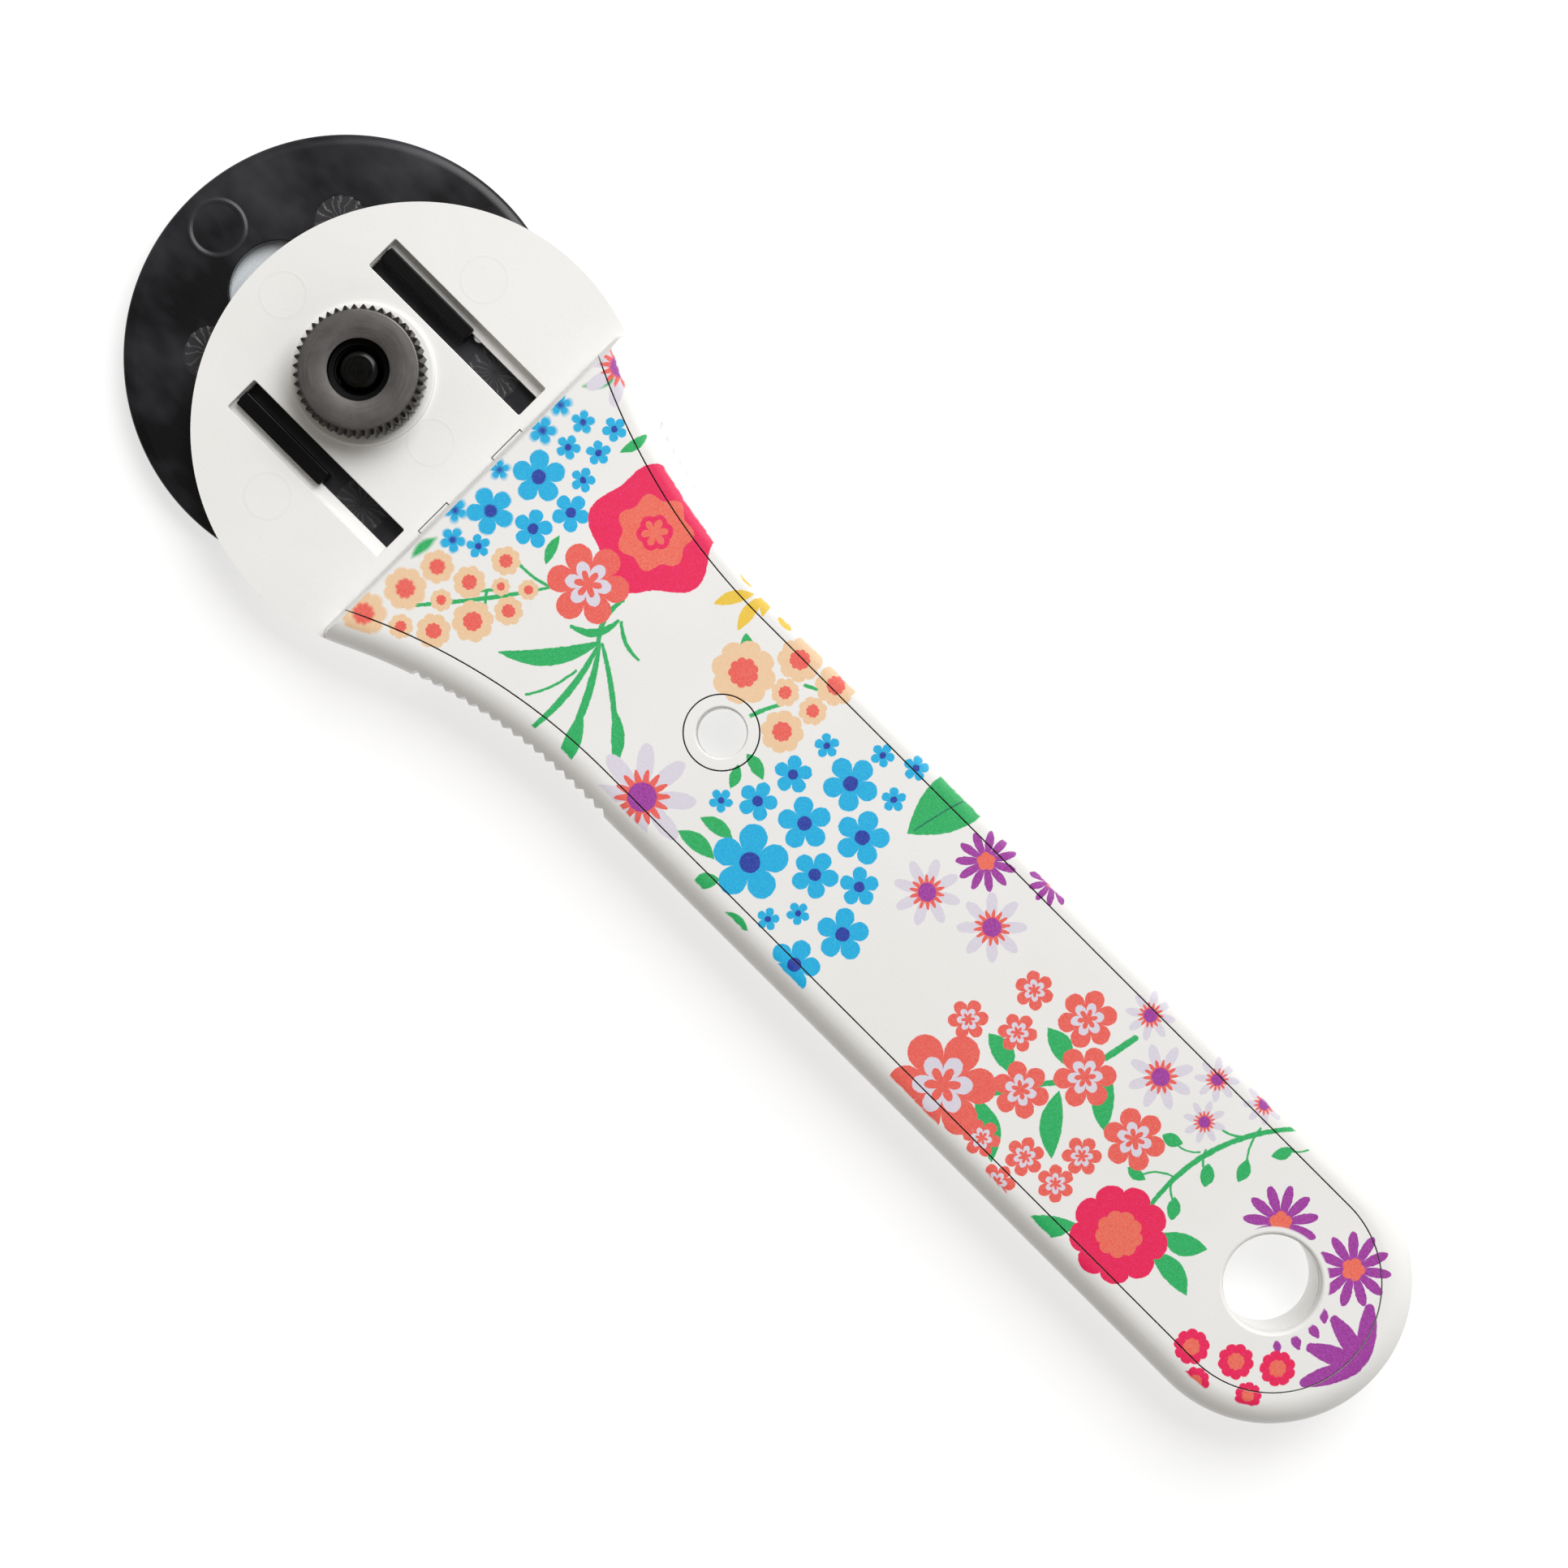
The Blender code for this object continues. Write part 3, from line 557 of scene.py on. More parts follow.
def leaf_group(name, ink):
    """A stem or a leaf from A to B: bowed by Bend, Stem wide all along and Leaf wide in the middle."""
    tree, given, out = paint_group(name, "Ax", "Ay", "Bx", "By", "Bend", "Stem", "Leaf")
    start = combine(tree, given["Ax"], given["Ay"])
    run = vector(tree, "SUBTRACT", combine(tree, given["Bx"], given["By"]), start)
    away = vector(tree, "SUBTRACT", given["Point"], start)
    length = vector(tree, "LENGTH", run)
    along = vector(tree, "NORMALIZE", run)
    side = vector(tree, "CROSS_PRODUCT", (0.0, 0.0, 1.0), along)
    share = clamp(tree, maths(tree, "DIVIDE", vector(tree, "DOT_PRODUCT", away, along), length))
    belly = times(tree, times(tree, share, maths(tree, "SUBTRACT", 1.0, share)), 4.0)
    bow = vector(tree, "SCALE", side, times(tree, belly, given["Bend"]))
    centre = vector(tree, "ADD", vector(tree, "SCALE", run, share), bow)
    apart = flat_length(tree, vector(tree, "SUBTRACT", away, centre))
    width = maths(tree, "MULTIPLY_ADD", belly, given["Leaf"], given["Stem"])
    room = maths(tree, "SUBTRACT", times(tree, width, 0.5), apart)
    mask = maths(tree, "ADD", maths(tree, "DIVIDE", room, given["Blur"]), 0.5)
    feed(tree, out[0], mix(tree, mask, given["Colour"], ink))
    return tree


KINDS = {
    "blue": flower_group("blue_flower", [(5, 1.0, 0.36, 0.42, BLUE), (0, 0.27, 0, 0, DEEP_BLUE)]),
    "peach": flower_group("peach_flower", [(8, 1.0, 0.84, 0.6, PEACH), (9, 0.47, 0.40, 0.8, CORAL)]),
    "coral": flower_group("coral_flower", [(6, 1.0, 0.48, 0.42, CORAL), (6, 0.56, 0.26, 0.6, LILAC),
                                           (6, 0.34, 0.13, 1.0, CORAL)]),
    "daisy": flower_group("lilac_daisy", [(8, 1.0, 0.18, 0.9, LILAC), (14, 0.52, 0.30, 1.6, CORAL),
                                          (0, 0.27, 0, 0, VIOLET)]),
    "violet": flower_group("violet_daisy", [(11, 1.0, 0.30, 0.75, VIOLET), (5, 0.31, 0.24, 0.8, ORANGE)]),
    "crimson": flower_group("crimson_flower", [(9, 1.0, 0.84, 0.55, CRIMSON), (9, 0.48, 0.41, 0.7, ORANGE)]),
    "poppy": flower_group("poppy", [(5, 1.0, 0.84, 2.0, CRIMSON), (7, 0.57, 0.47, 2.0, ORANGE),
                                    (6, 0.27, 0.23, 1.0, CRIMSON), (6, 0.20, 0.07, 0.7, ORANGE)]),
}
LEAVES = {ink_name: leaf_group(ink_name + "_leaf", ink)
          for ink_name, ink in (("green", GREEN), ("yellow", YELLOW), ("purple", VIOLET), ("vein", DEEP_GREEN))}

# Stems and leaves of each ink: from x, y to x, y, bend, stem width, leaf width
FOLIAGE = {
    "green": (
        (18.6, -10.5, 19, -7, 0.2, 0, 1.1), (29.6, -0.6, 28.4, 2.8, 0.2, 0, 1.2),
        (26.6, 13.9, 27.4, 17.6, -0.2, 0, 1.2), (18.6, 16.2, 20.6, 19.6, -0.2, 0.1, 0.9),
        (31.6, -2.2, 21.6, -15, 0.3, 0.35, 0.15), (28, -6, 26, -8.4, 0, 0.35, 0),
        (32, -1.8, 27.4, -2.6, 0.3, 0.35, 0), (27, -7.2, 28.6, -9.6, 0.1, 0.35, 0),
        (38.4, 2.6, 39.8, -2.6, -0.7, 0.5, 0.1), (39.6, 0.6, 36.4, -3.4, 1, 0.45, 0.5),
        (40, 0.8, 44.2, -0.8, -0.5, 0.35, 0.1), (39.8, -2.4, 32.8, -11, 1.1, 0.25, 1.7),
        (39.8, -2.4, 41, -16, 0.9, 0.3, 0.5), (40.2, -6.5, 38.2, -12.2, 0.4, 0.3, 0),
        (40, -2.6, 45.8, -14.6, 0.6, 0.3, 0.6), (44, -9.4, 46.6, -15.6, 0.2, 0.3, 1.6),
        (40.2, -2.4, 50.4, -10.6, 0.5, 0.35, 0.3), (46.4, -6.6, 50.6, -10.8, 0.3, 0.2, 1.3),
        (50.6, 9.6, 52.2, 8, 0.1, 0.2, 1.2), (57, 2.4, 58.8, 6.8, 0.2, 0.4, 0.1),
        (59.2, 10.2, 62.6, 11.6, 0.1, 0.4, 0), (60, 0.3, 63.2, -0.4, 0.2, 0.1, 1.4),
        (60.2, -1.2, 61.4, -3.6, 0.1, 0.1, 1.2), (61.4, -8.2, 65.4, -7.4, 0.2, 0.1, 1.6),
        (60.6, -11, 65.6, -10.4, 0.3, 0.1, 1.8), (66, -14.2, 67.6, -11.6, 0.2, 0.2, 1.6),
        (70.4, -14, 73.8, -13.4, 0.2, 0.1, 1.2), (78.7, 6.6, 81.7, 19.7, 0.3, 0, 6.2),
        (100.6, -2.6, 105.4, -4, 0.4, 0.1, 2.3), (104.8, 2.4, 109.4, 1, 0.4, 0.1, 2.3),
        (104.6, -8.6, 110.8, -12.4, 0.6, 0.1, 2.4), (108.4, -2.8, 112.6, 1.6, 0.2, 0.5, 0.2),
        (110.6, -1.6, 115.2, -7.4, -0.5, 0.1, 2.4), (113.4, 3.6, 117.2, -1.2, -0.5, 0.1, 2.3),
        (111.6, 4.6, 112.4, 8.4, 0, 0.75, 0), (105.6, -7, 107.4, -4.8, 0, 0.5, 0),
        (131.9, 13.8, 126.6, -3.4, -2.1, 0.55, 0.1), (125.4, 8, 129.4, 10.9, -0.9, 0.28, 0),
        (126.3, 4.6, 123.9, 3.4, 0.3, 0.22, 0), (124.3, 3.9, 122, 3, 0.1, 0, 1.5),
        (126.2, 0.6, 123.4, -2, -0.5, 0.25, 0), (124.2, -1.8, 121.8, -2.2, 0.1, 0, 1.3),
        (126.4, 0.2, 128.4, -1.4, -0.3, 0.25, 0), (127.8, -0.8, 129.4, -3, 0.1, 0, 1.5),
        (126.6, 5.2, 128.4, 3.4, -0.3, 0.25, 0), (127.8, 4.4, 129.4, 2.2, 0.1, 0, 1.6),
        (129.2, 11.2, 131, 7.2, -0.4, 0.25, 0), (130.6, 7.8, 131.6, 5.2, 0.1, 0, 1.5),
        (134.6, 13.2, 132.8, 11.4, 0.2, 0.2, 0), (133.4, 12.2, 132.2, 9.8, 0.1, 0, 1.4),
        (117.4, -14.8, 122.4, -10.6, -0.5, 0.1, 2.4), (129.6, -4.8, 134.4, -2.4, -0.4, 0.1, 2.4),
        (130.2, -7, 136.4, -7.6, 0.5, 0.1, 2.3),
    ),
    "vein": (
        (79, 7.4, 80.5, 13.4, 0.1, 0.16, 0),
    ),
    "yellow": (
        (45.8, 9.6, 48, 13.2, 0.2, 0.3, 1.2), (49.6, 9.4, 49, 13.6, 0.2, 0.3, 1.2),
        (44.2, 14.9, 48.4, 14.2, -0.2, 0.3, 1.3), (52, 13.4, 53.6, 13.4, 0, 0.4, 0.4),
        (50.4, 12.4, 49.2, 15.2, 0.2, 0.3, 1),
    ),
    "purple": (
        (149.9, 2, 155.2, 0.8, 0.1, 1.1, 1), (151.7, 5.6, 155.4, 0.8, 0.1, 1.1, 1),
        (150.2, -2, 155.2, 0.2, 0.1, 1.1, 1), (152.4, -5.2, 155.4, 0, 0.1, 1.1, 1),
        (148.2, 1.9, 149.2, 1.1, 0, 0.5, 0.5), (148.4, -0.3, 149.8, -0.6, 0, 0.5, 0.6),
        (147.9, -2.4, 149.2, -3, 0, 0.5, 0.6), (147, -4.2, 147.9, -4.8, 0, 0.4, 0.5),
    ),
}

# Flowers, the ones underneath first: kind, x, y, radius, turn
# Flowers of each kind, the ones underneath first: x, y, radius, turn
FLOWERS = {
    "daisy": (
        (20, 20.8, 4.6, 0.2), (55.2, -11.2, 6, 0.1), (84.8, 3.6, 3.8, 0.3), (92.6, 5.9, 3.9, 0),
        (111.8, 11.4, 2.8, 0.2), (117.4, 7.4, 3.7, 0.5), (122, 11.6, 2.5, 0.1), (124.3, 7.3, 2.4, 0.3),
        (127.6, 13.4, 2.4, 0),
    ),
    "blue": (
        (21.4, 13.4, 1.35, 0.3), (24.4, 15.3, 1.4, 0.9), (22.2, 10.3, 1.4, 0.6), (25, 12.2, 1.4, 0.1),
        (25.9, 8.9, 1.4, 0.5), (22.2, 5.7, 3, 0.2), (27.5, 5.4, 2.15, 0.8), (21.1, -0.7, 2.7, 1),
        (25.8, 1.2, 2.2, 0.4), (20.4, -5.9, 1.45, 0.7), (22.9, -4.4, 1.35, 0), (18.9, 9.6, 1.6, 0.5),
        (18.6, 3.2, 1.2, 0.2), (18.3, 13, 1.3, 0.2), (18.3, -3.4, 1.4, 0.9), (65.6, 7.2, 1.4, 0.1),
        (70.7, 10.8, 1.35, 0.7), (74.3, 12.4, 1.45, 0.4), (65.2, 2.3, 2.15, 0.3), (70.4, 6.1, 3.1, 0.9),
        (75, 8.2, 1.4, 0.2), (64.5, -2.5, 2.2, 0.6), (61.6, -5.3, 1.35, 0.8), (69.9, -0.6, 3, 0.1),
        (75.5, 2.8, 3.05, 0.5), (68.7, -7.9, 4.3, 0.3), (74.7, -3.8, 2.65, 0.7), (79.1, -1.3, 2.2, 0.2),
        (74.5, -10.9, 1.3, 0.4), (76.4, -8.1, 1.3, 0.9), (81.5, -6.3, 2.95, 0.3), (80.1, -12.4, 2.9, 0.6),
    ),
    "peach": (
        (21.3, -9.2, 1.9, 0.1), (20.5, -13.4, 2.4, 0.5), (25, -7.9, 1.85, 0.3), (26.2, -3.4, 1.65, 0.2),
        (27.8, -5.8, 1.05, 0), (30.2, -3.9, 1.15, 0.4), (24.2, -11.5, 1.25, 0.1), (28.3, -10.7, 2.35, 0.6),
        (30.3, -7.1, 1.65, 0.2), (26, -14.5, 1.95, 0.5), (23.1, -16.7, 1.4, 0.2), (19.2, -18.6, 2.6, 0),
        (53.4, 6.4, 3.6, 0.3), (56.8, 11.8, 2.5, 0.1), (58.2, 8.1, 1.6, 0.4), (61, 4.8, 2.4, 0.2),
        (61.8, 8.8, 1.6, 0.5), (61.6, 12.6, 2.3, 0.2),
    ),
    "poppy": (
        (35.6, 10.4, 7.6, 0.15),
    ),
    "coral": (
        (34.4, 1.2, 4.6, 0.45), (97.9, -3.1, 2.25, 0.2), (100.8, 4.3, 2.2, 0.7), (102.8, -0.3, 2.2, 0.4),
        (107.2, 6.2, 3.3, 0.1), (101, -10.2, 6, 0.3), (107.5, -4.5, 3.2, 0.6), (111.5, 1.5, 3.5, 0.2),
        (108.2, -11.3, 2.1, 0.5), (113, -9.4, 2.2, 0), (117.4, -4.9, 2.2, 0.3), (120.2, 0.5, 3.5, 0.6),
        (117.5, -9.1, 2.1, 0.8), (112.8, -13.6, 2.1, 0.4),
    ),
    "violet": (
        (87, 10.6, 3.4, 0.1), (93.8, 14.3, 2.8, 0.4), (138.1, 5.4, 4.2, 0.2), (147.4, 7.4, 4.2, 0.5),
    ),
    "crimson": (
        (126.4, -8.1, 5.5, 0.2), (140.8, -11.2, 2, 0.5), (145.4, -8.9, 2, 0.1), (149.2, -6.2, 2, 0.3),
        (143.8, -13.6, 1.6, 0.2), (149, -10.6, 1.5, 0.6),
    ),
}
BLUR = 0.09
STEP_BLUR = 0.6             # printing turns woolly next to the step
STEP_BLUR_REACH = 7.0
PRINT_DROP = 0.17           # how far down the rounded shoulder the print goes
PRINT_WANDER = 0.28         # how far the ink's edges stray
PRINT_ZONES = 12


def blur_at(x):
    return BLUR + STEP_BLUR * max(0.0, 1 - (x - STEP_FOOT_X) / STEP_BLUR_REACH) ** 1.5


def paint(tree, kind, colour, point, blur, **values):
    node = tree.nodes.new("ShaderNodeGroup")
    node.node_tree = kind
    feed(tree, node.inputs["Colour"], colour)
    feed(tree, node.inputs["Point"], point)
    node.inputs["Blur"].default_value = blur
    for name, value in values.items():
        node.inputs[name].default_value = value
    return node.outputs[0]


def zone_ends(zone):
    """The print is painted in zones along the grip, so that a point only looks up the flowers near it."""
    width = (HANG_HOLE_X + GRIP_HALF_WIDTH - STEP_FOOT_X) / PRINT_ZONES
    return STEP_FOOT_X + width * zone, STEP_FOOT_X + width * (zone + 1)


def print_group(zone):
    """One zone of the print: an ink colour to multiply a white surface by, and how much ink there is."""
    low, high = zone_ends(zone)

    def near(first, last, room):
        return min(first, last) - room < high and max(first, last) + room > low
    tree, given, out = group("floral_print", {"Point": "Vector"}, {"Ink": "Color", "Amount": "Float"})
    place = given["Point"]
    _, _, height = separate(tree, place)
    wander = noise(tree, place, 1.6, 5.0, 0.62, output="Color")
    shift = vector(tree, "SCALE", vector(tree, "SUBTRACT", wander, (0.5, 0.5, 0.5)), PRINT_WANDER)
    point = vector(tree, "ADD", place, shift)
    colour = BARE
    for ink, leaves in FOLIAGE.items():
        for ax, ay, bx, by, bend, stem, leaf in leaves:
            if near(ax, bx, abs(bend) + leaf):
                colour = paint(tree, LEAVES[ink], colour, point, blur_at((ax + bx) / 2),
                               Ax=ax, Ay=ay, Bx=bx, By=by, Bend=bend, Stem=stem, Leaf=leaf)
    for kind, flowers in FLOWERS.items():
        for x, y, radius, turn in flowers:
            if near(x, x, radius + 0.6):
                colour = paint(tree, KINDS[kind], colour, point, blur_at(x), X=x, Y=y, Radius=radius, Turn=turn)
    ragged = maths(tree, "MULTIPLY_ADD", noise(tree, place, 1.2, 4.0), 0.16, -0.08)
    floor = TOP - PRINT_DROP
    on_top = ramp(tree, maths(tree, "ADD", height, ragged), floor - 0.03, floor + 0.03)
    kept = on_top
    for x, bare_radius in ((HANG_HOLE_X, 6.2), (SMALL_HOLE_X, 3.5)):
        apart = flat_length(tree, vector(tree, "SUBTRACT", place, (x, 0.0, 0.0)))
        kept = times(tree, kept, ramp(tree, apart, bare_radius, bare_radius + 0.2))
    colour = mix(tree, kept, BARE, colour)
    speckle = maths(tree, "MULTIPLY_ADD", noise(tree, place, 5.5, 3.0, 0.7), 1.3, 0.36)
    gamma = tree.nodes.new("ShaderNodeGamma")
    feed(tree, gamma.inputs["Color"], colour)
    feed(tree, gamma.inputs["Gamma"], speckle)
    r, g, b = separate(tree, gamma.outputs[0])
    amount = maths(tree, "SUBTRACT", 1.0, maths(tree, "MINIMUM", r, maths(tree, "MINIMUM", g, b)))
    feed(tree, out["Ink"], gamma.outputs[0])
    feed(tree, out["Amount"], amount)
    return tree


# ---- materials

def white_plastic(name, zone=None, marks=(), base=(0.868, 0.862, 0.845)):
    """Fine-grained moulded plastic, faintly uneven, with one zone of the print on its back face."""
    made, tree, inputs, place = new_material(name)
    grain = noise(tree, place, 3.2, 3.0, 0.6)
    cloud = noise(tree, place, 0.06, 3.0)
    tone = ramp(tree, cloud, 0.3, 0.7, 0.965, 1.0)
    colour = mix(tree, 1.0, base, combine(tree, tone, tone, maths(tree, "POWER", tone, 1.3)), "MULTIPLY")
    speck = ramp(tree, noise(tree, place, 1.7, 6.0, 0.75), 0.70, 0.78)
    colour = mix(tree, times(tree, speck, 0.10), colour, (0.45, 0.42, 0.38))
    rough = ramp(tree, grain, 0.2, 0.8, 0.38, 0.5)
    height = grain
    for x, y in marks:
        away = flat_length(tree, vector(tree, "SUBTRACT", place, (x, y, 0.0)))
        ring = circle_line(tree, away, PIN_RADIUS, 0.05, 0.25)
        colour = mix(tree, times(tree, ring, 0.05), colour, (0.4, 0.39, 0.37))
        height = maths(tree, "ADD", height, times(tree, ring, 0.6))
    if zone is not None:
        print_node = tree.nodes.new("ShaderNodeGroup")
        print_node.node_tree = print_group(zone)
        feed(tree, print_node.inputs["Point"], place)
        colour = mix(tree, 1.0, colour, print_node.outputs["Ink"], "MULTIPLY")
        rough = maths(tree, "MULTIPLY_ADD", print_node.outputs["Amount"], 0.06, rough)
    inputs["Specular IOR Level"].default_value = 0.4
    surface(tree, inputs, colour, rough, bump(tree, height, 0.012, bump(tree, cloud, 0.12)))
    return made


def black_plastic():
    """Satin black moulding with dust, ejector marks (one ring, and four that are lined all ways) and marks where the
    plastic flowed, whose paler bands are partly painted sheen.
    """
    made, tree, inputs, place = new_material("guard_plastic")
    flow_and_sheen = noise(tree, place, 0.07, 3.0, 0.6, (1.0, 1.6, 1.0))
    grain = noise(tree, place, 4.5, 3.0, 0.7)
    scratch = noise(tree, place, 1.0, 5.0, 0.7, (0.35, 9.0, 1.0))
    wander = noise(tree, place, 0.5, 3.0, 0.6)
    dark, pale = (0.0025, 0.0025, 0.0035), (0.030, 0.030, 0.036)
    # Where the plastic flowed the noise gives real marks, and its paler bands are also painted sheen.
    colour = mix(tree, ramp(tree, flow_and_sheen, 0.38, 0.68), dark, pale)
    colour = mix(tree, ramp(tree, grain, 0.66, 0.8, 0.0, 0.25), colour, (0.07, 0.07, 0.08))
    height = times(tree, scratch, 0.03)
    for i, (x, y) in enumerate(EJECTOR_MARKS):
        away = vector(tree, "SUBTRACT", place, (GUARD_X + x, y, 0.0))
        radius = flat_length(tree, away)
        if i == 0:
            rim = circle_line(tree, radius, EJECTOR_RADIUS, 0.05, 0.38)
            height = maths(tree, "ADD", height, rim)
            colour = mix(tree, times(tree, rim, 0.5), colour, (0.045, 0.045, 0.05))
            continue
        inside = maths(tree, "SUBTRACT", 1.0, ramp(tree, radius, EJECTOR_RADIUS - 0.25, EJECTOR_RADIUS))
        ax, ay, _ = separate(tree, away)
        turns = times(tree, maths(tree, "ARCTAN2", ay, ax), 16.0)
        rays = maths(tree, "SINE", maths(tree, "MULTIPLY_ADD", wander, 14.0, turns))
        lines = times(tree, ramp(tree, rays, 0.35, 0.95), inside)
        height = maths(tree, "ADD", height, times(tree, lines, 0.5))
        colour = mix(tree, times(tree, inside, 0.6), colour, (0.04, 0.04, 0.043))
        colour = mix(tree, times(tree, lines, 0.45), colour, (0.12, 0.12, 0.125))
    _, _, z = separate(tree, place)
    # Painted shade: the rails, moulded in the same plastic as the guard, are painted near black above GUARD_TOP +
    # 0.3 to stand in for the dark they reflect, and their specular level is lowered there too.
    rail_painted_shade = ramp(tree, z, GUARD_TOP + 0.3, GUARD_TOP + 0.8)
    colour = mix(tree, rail_painted_shade, colour, (0.002, 0.002, 0.002))
    feed(tree, inputs["Specular IOR Level"], ramp(tree, z, GUARD_TOP + 0.3, GUARD_TOP + 0.8, 0.32, 0.14))
    rough = maths(tree, "ADD", ramp(tree, flow_and_sheen, 0.2, 0.8, 0.22, 0.38), ramp(tree, scratch, 0.55, 0.8, 0.0, 0.16))
    surface(tree, inputs, colour, rough, bump(tree, height, 0.09, bump(tree, grain, 0.006)))
    return made


def turned_steel(name, dark, light, low_rough, high_rough, line=7.0, depth=0.006, shade_within=0.0, dark_rim=0.0):
    """Steel with fine circular tool marks about the blade axis; painted shade makes it near black inside one radius,
    and past another it is painted darker with painted glints.
    """
    made, tree, inputs, place = new_material(name)
    x, y, z = separate(tree, place)
    radius = flat_length(tree, place)
    turn = maths(tree, "ARCTAN2", y, x)
    rings = noise(tree, combine(tree, radius, times(tree, turn, 0.12), z), line, 4.0, 0.7)
    blotch = noise(tree, place, 0.5, 4.0, 0.65)
    fine = noise(tree, place, 9.0, 2.0, 0.6)
    share = maths(tree, "MULTIPLY_ADD", rings, 0.6, maths(tree, "MULTIPLY_ADD", blotch, 0.8, -0.2))
    colour = mix(tree, share, dark, light)
    if shade_within:
        # Painted shade: inside this radius, in the nut's counterbore, the colour is painted near black for the shade
        # in that recess.
        colour = mix(tree, ramp(tree, radius, shade_within, shade_within + 0.1), (0.008, 0.008, 0.008), colour)
    if dark_rim:
        # Past dark_rim the knurl is painted darker than the face, near black, with painted glints where the blotch
        # noise runs high.
        dark_knurl_and_glints = mix(tree, blotch, (0.004, 0.004, 0.004), (0.045, 0.038, 0.032))
        colour = mix(tree, ramp(tree, radius, dark_rim, dark_rim + 0.1), colour, dark_knurl_and_glints)
    inputs["Metallic"].default_value = 1.0
    rough = maths(tree, "ADD", ramp(tree, rings, 0.25, 0.75, low_rough, high_rough), times(tree, fine, 0.08))
    surface(tree, inputs, colour, rough, bump(tree, rings, depth, bump(tree, fine, 0.3 * depth)))
    return made


def blade_steel():
    """Polished disc, cross-ground on its bevel, with faint handling marks."""
    made, tree, inputs, place = new_material("blade_finish")
    x, y, _ = separate(tree, place)
    radius = flat_length(tree, place)
    turn = maths(tree, "ARCTAN2", y, x)
    rings = noise(tree, combine(tree, radius, times(tree, turn, 0.25), 0.0), 5.0, 4.0, 0.7)
    across = combine(tree, times(tree, turn, 60.0), times(tree, radius, 0.6))
    ground = noise(tree, across, 3.0, 3.0, 0.6)
    on_bevel = ramp(tree, radius, BLADE_RADIUS - BEVEL_WIDTH - 0.05, BLADE_RADIUS - BEVEL_WIDTH + 0.05)
    smear = noise(tree, place, 0.16, 5.0, 0.7)
    colour = mix(tree, ramp(tree, smear, 0.35, 0.75), (0.86, 0.91, 0.94), (0.76, 0.81, 0.85))
    colour = mix(tree, times(tree, on_bevel, 0.5), colour, (0.88, 0.90, 0.92))
    inputs["Metallic"].default_value = 0.35
    rough = maths(tree, "ADD", ramp(tree, rings, 0.25, 0.75, 0.2, 0.3), times(tree, on_bevel, 0.12))
    rough = maths(tree, "ADD", rough, ramp(tree, smear, 0.5, 0.8, 0.0, 0.12))
    height = maths(tree, "ADD", times(tree, ground, on_bevel), times(tree, rings, 0.5))
    surface(tree, inputs, colour, rough, bump(tree, height, 0.004))
    return made


def paper_floor():
    made, tree, inputs, place = new_material("pale_floor")
    tone = ramp(tree, noise(tree, place, 0.02, 3.0), 0.3, 0.7, 0.985, 1.0)
    feed(tree, inputs["Base Color"], mix(tree, tone, (0.0, 0.0, 0.0), (0.42, 0.42, 0.42)))
    feed(tree, inputs["Roughness"], ramp(tree, noise(tree, place, 1.5), 0.3, 0.7, 0.8, 0.9))
    inputs["Emission Color"].default_value = (1.0, 1.0, 1.0, 1.0)
    inputs["Emission Strength"].default_value = 0.65
    return made


# ---- pieces

def step_cutter():
    """Everything above the head plate and ahead of the step. Its rim rounds the step's top edge."""
    rise = TOP - PLATE_TOP
    turn = QUARTER - atan2(STEP_LEAN, rise)
    reach = STEP_ROUND * tan(turn / 2)
    centre_x, centre_z = SLANT_TOP_X + reach, TOP - STEP_ROUND
    path = [(STEP_FOOT_X, PLATE_TOP)] + arc(centre_x, centre_z, STEP_ROUND, QUARTER + turn, QUARTER, 8)
    path[-1] = (path[-1][0], TOP + 0.003)
    path.append((path[-1][0], TOP + OVER))

    def plan(x):
        wide = HEAD_RADIUS + OVER
        bend = radians(70)
        rounded = arc(x + STEP_CORNER, STEP_CORNER_Y, STEP_CORNER, pi, pi - bend, 8)
        last = rounded[-1]
        rounded.append((last[0] + (wide - last[1]) * tan(bend), wide))
        front = [(a, -b) for a, b in reversed(rounded)] + rounded
        return front + [(-2 * HEAD_RADIUS, wide), (-2 * HEAD_RADIUS, -wide)]

    return loft("step", [[(a, b, z) for a, b in plan(x)] for x, z in path])


def front_recess():
    """Room for the blade and guard under the head plate, with a softened rim on the front face."""
    side = HEAD_RADIUS + 2 * OVER
    lean = asin(side / RECESS_ARC)

    def plan(inset):
        bow = arc(RECESS_END_X - RECESS_ARC, 0, RECESS_ARC - inset, -lean, lean, 64)
        return bow + [(-2 * HEAD_RADIUS, bow[-1][1]), (-2 * HEAD_RADIUS, bow[0][1])]

    edge = 0.4
    path = [(-edge, -OVER)] + quarter((-edge, -0.003), (0, edge), 5, False) + [(0, PLATE_Z)]
    return stack("front_recess", plan, path)


def tooth_cutter(side):
    """A ribbon along one flank whose inner edge is the row of thumb serrations."""
    def point(s, out):
        if s < 0:
            turn = s / NECK_RADIUS
            x, y = NECK_CENTRE_X + NECK_RADIUS * sin(turn), NECK_CENTRE_Y - NECK_RADIUS * cos(turn)
            return x - out * sin(turn), side * (y + out * cos(turn))
        return NECK_CENTRE_X + s, side * (GRIP_HALF_WIDTH + out)

    first = NECK_RADIUS * asin((TOOTH_FIRST_X - NECK_CENTRE_X) / NECK_RADIUS)
    start = first - TOOTH_PITCH / 2
    count = TOOTH_COUNT * TOOTH_POINTS
    inner, outer = [], []
    for i in range(count + 1):
        s = start + TOOTH_COUNT * TOOTH_PITCH * i / count
        phase = tau * (s - first) / TOOTH_PITCH
        crest = acos((1 - TOOTH_SOFTNESS) * cos(phase)) / pi
        depth = -0.3 if i in (0, count) else TOOTH_DEPTH * (1 - crest) + 0.01
        inner.append(point(s, -depth))
        outer.append(point(s, OVER))
    loop = inner + outer[::-1]
    return stack("teeth", lambda inset: loop, [(0, -OVER), (0, TOP + OVER)])


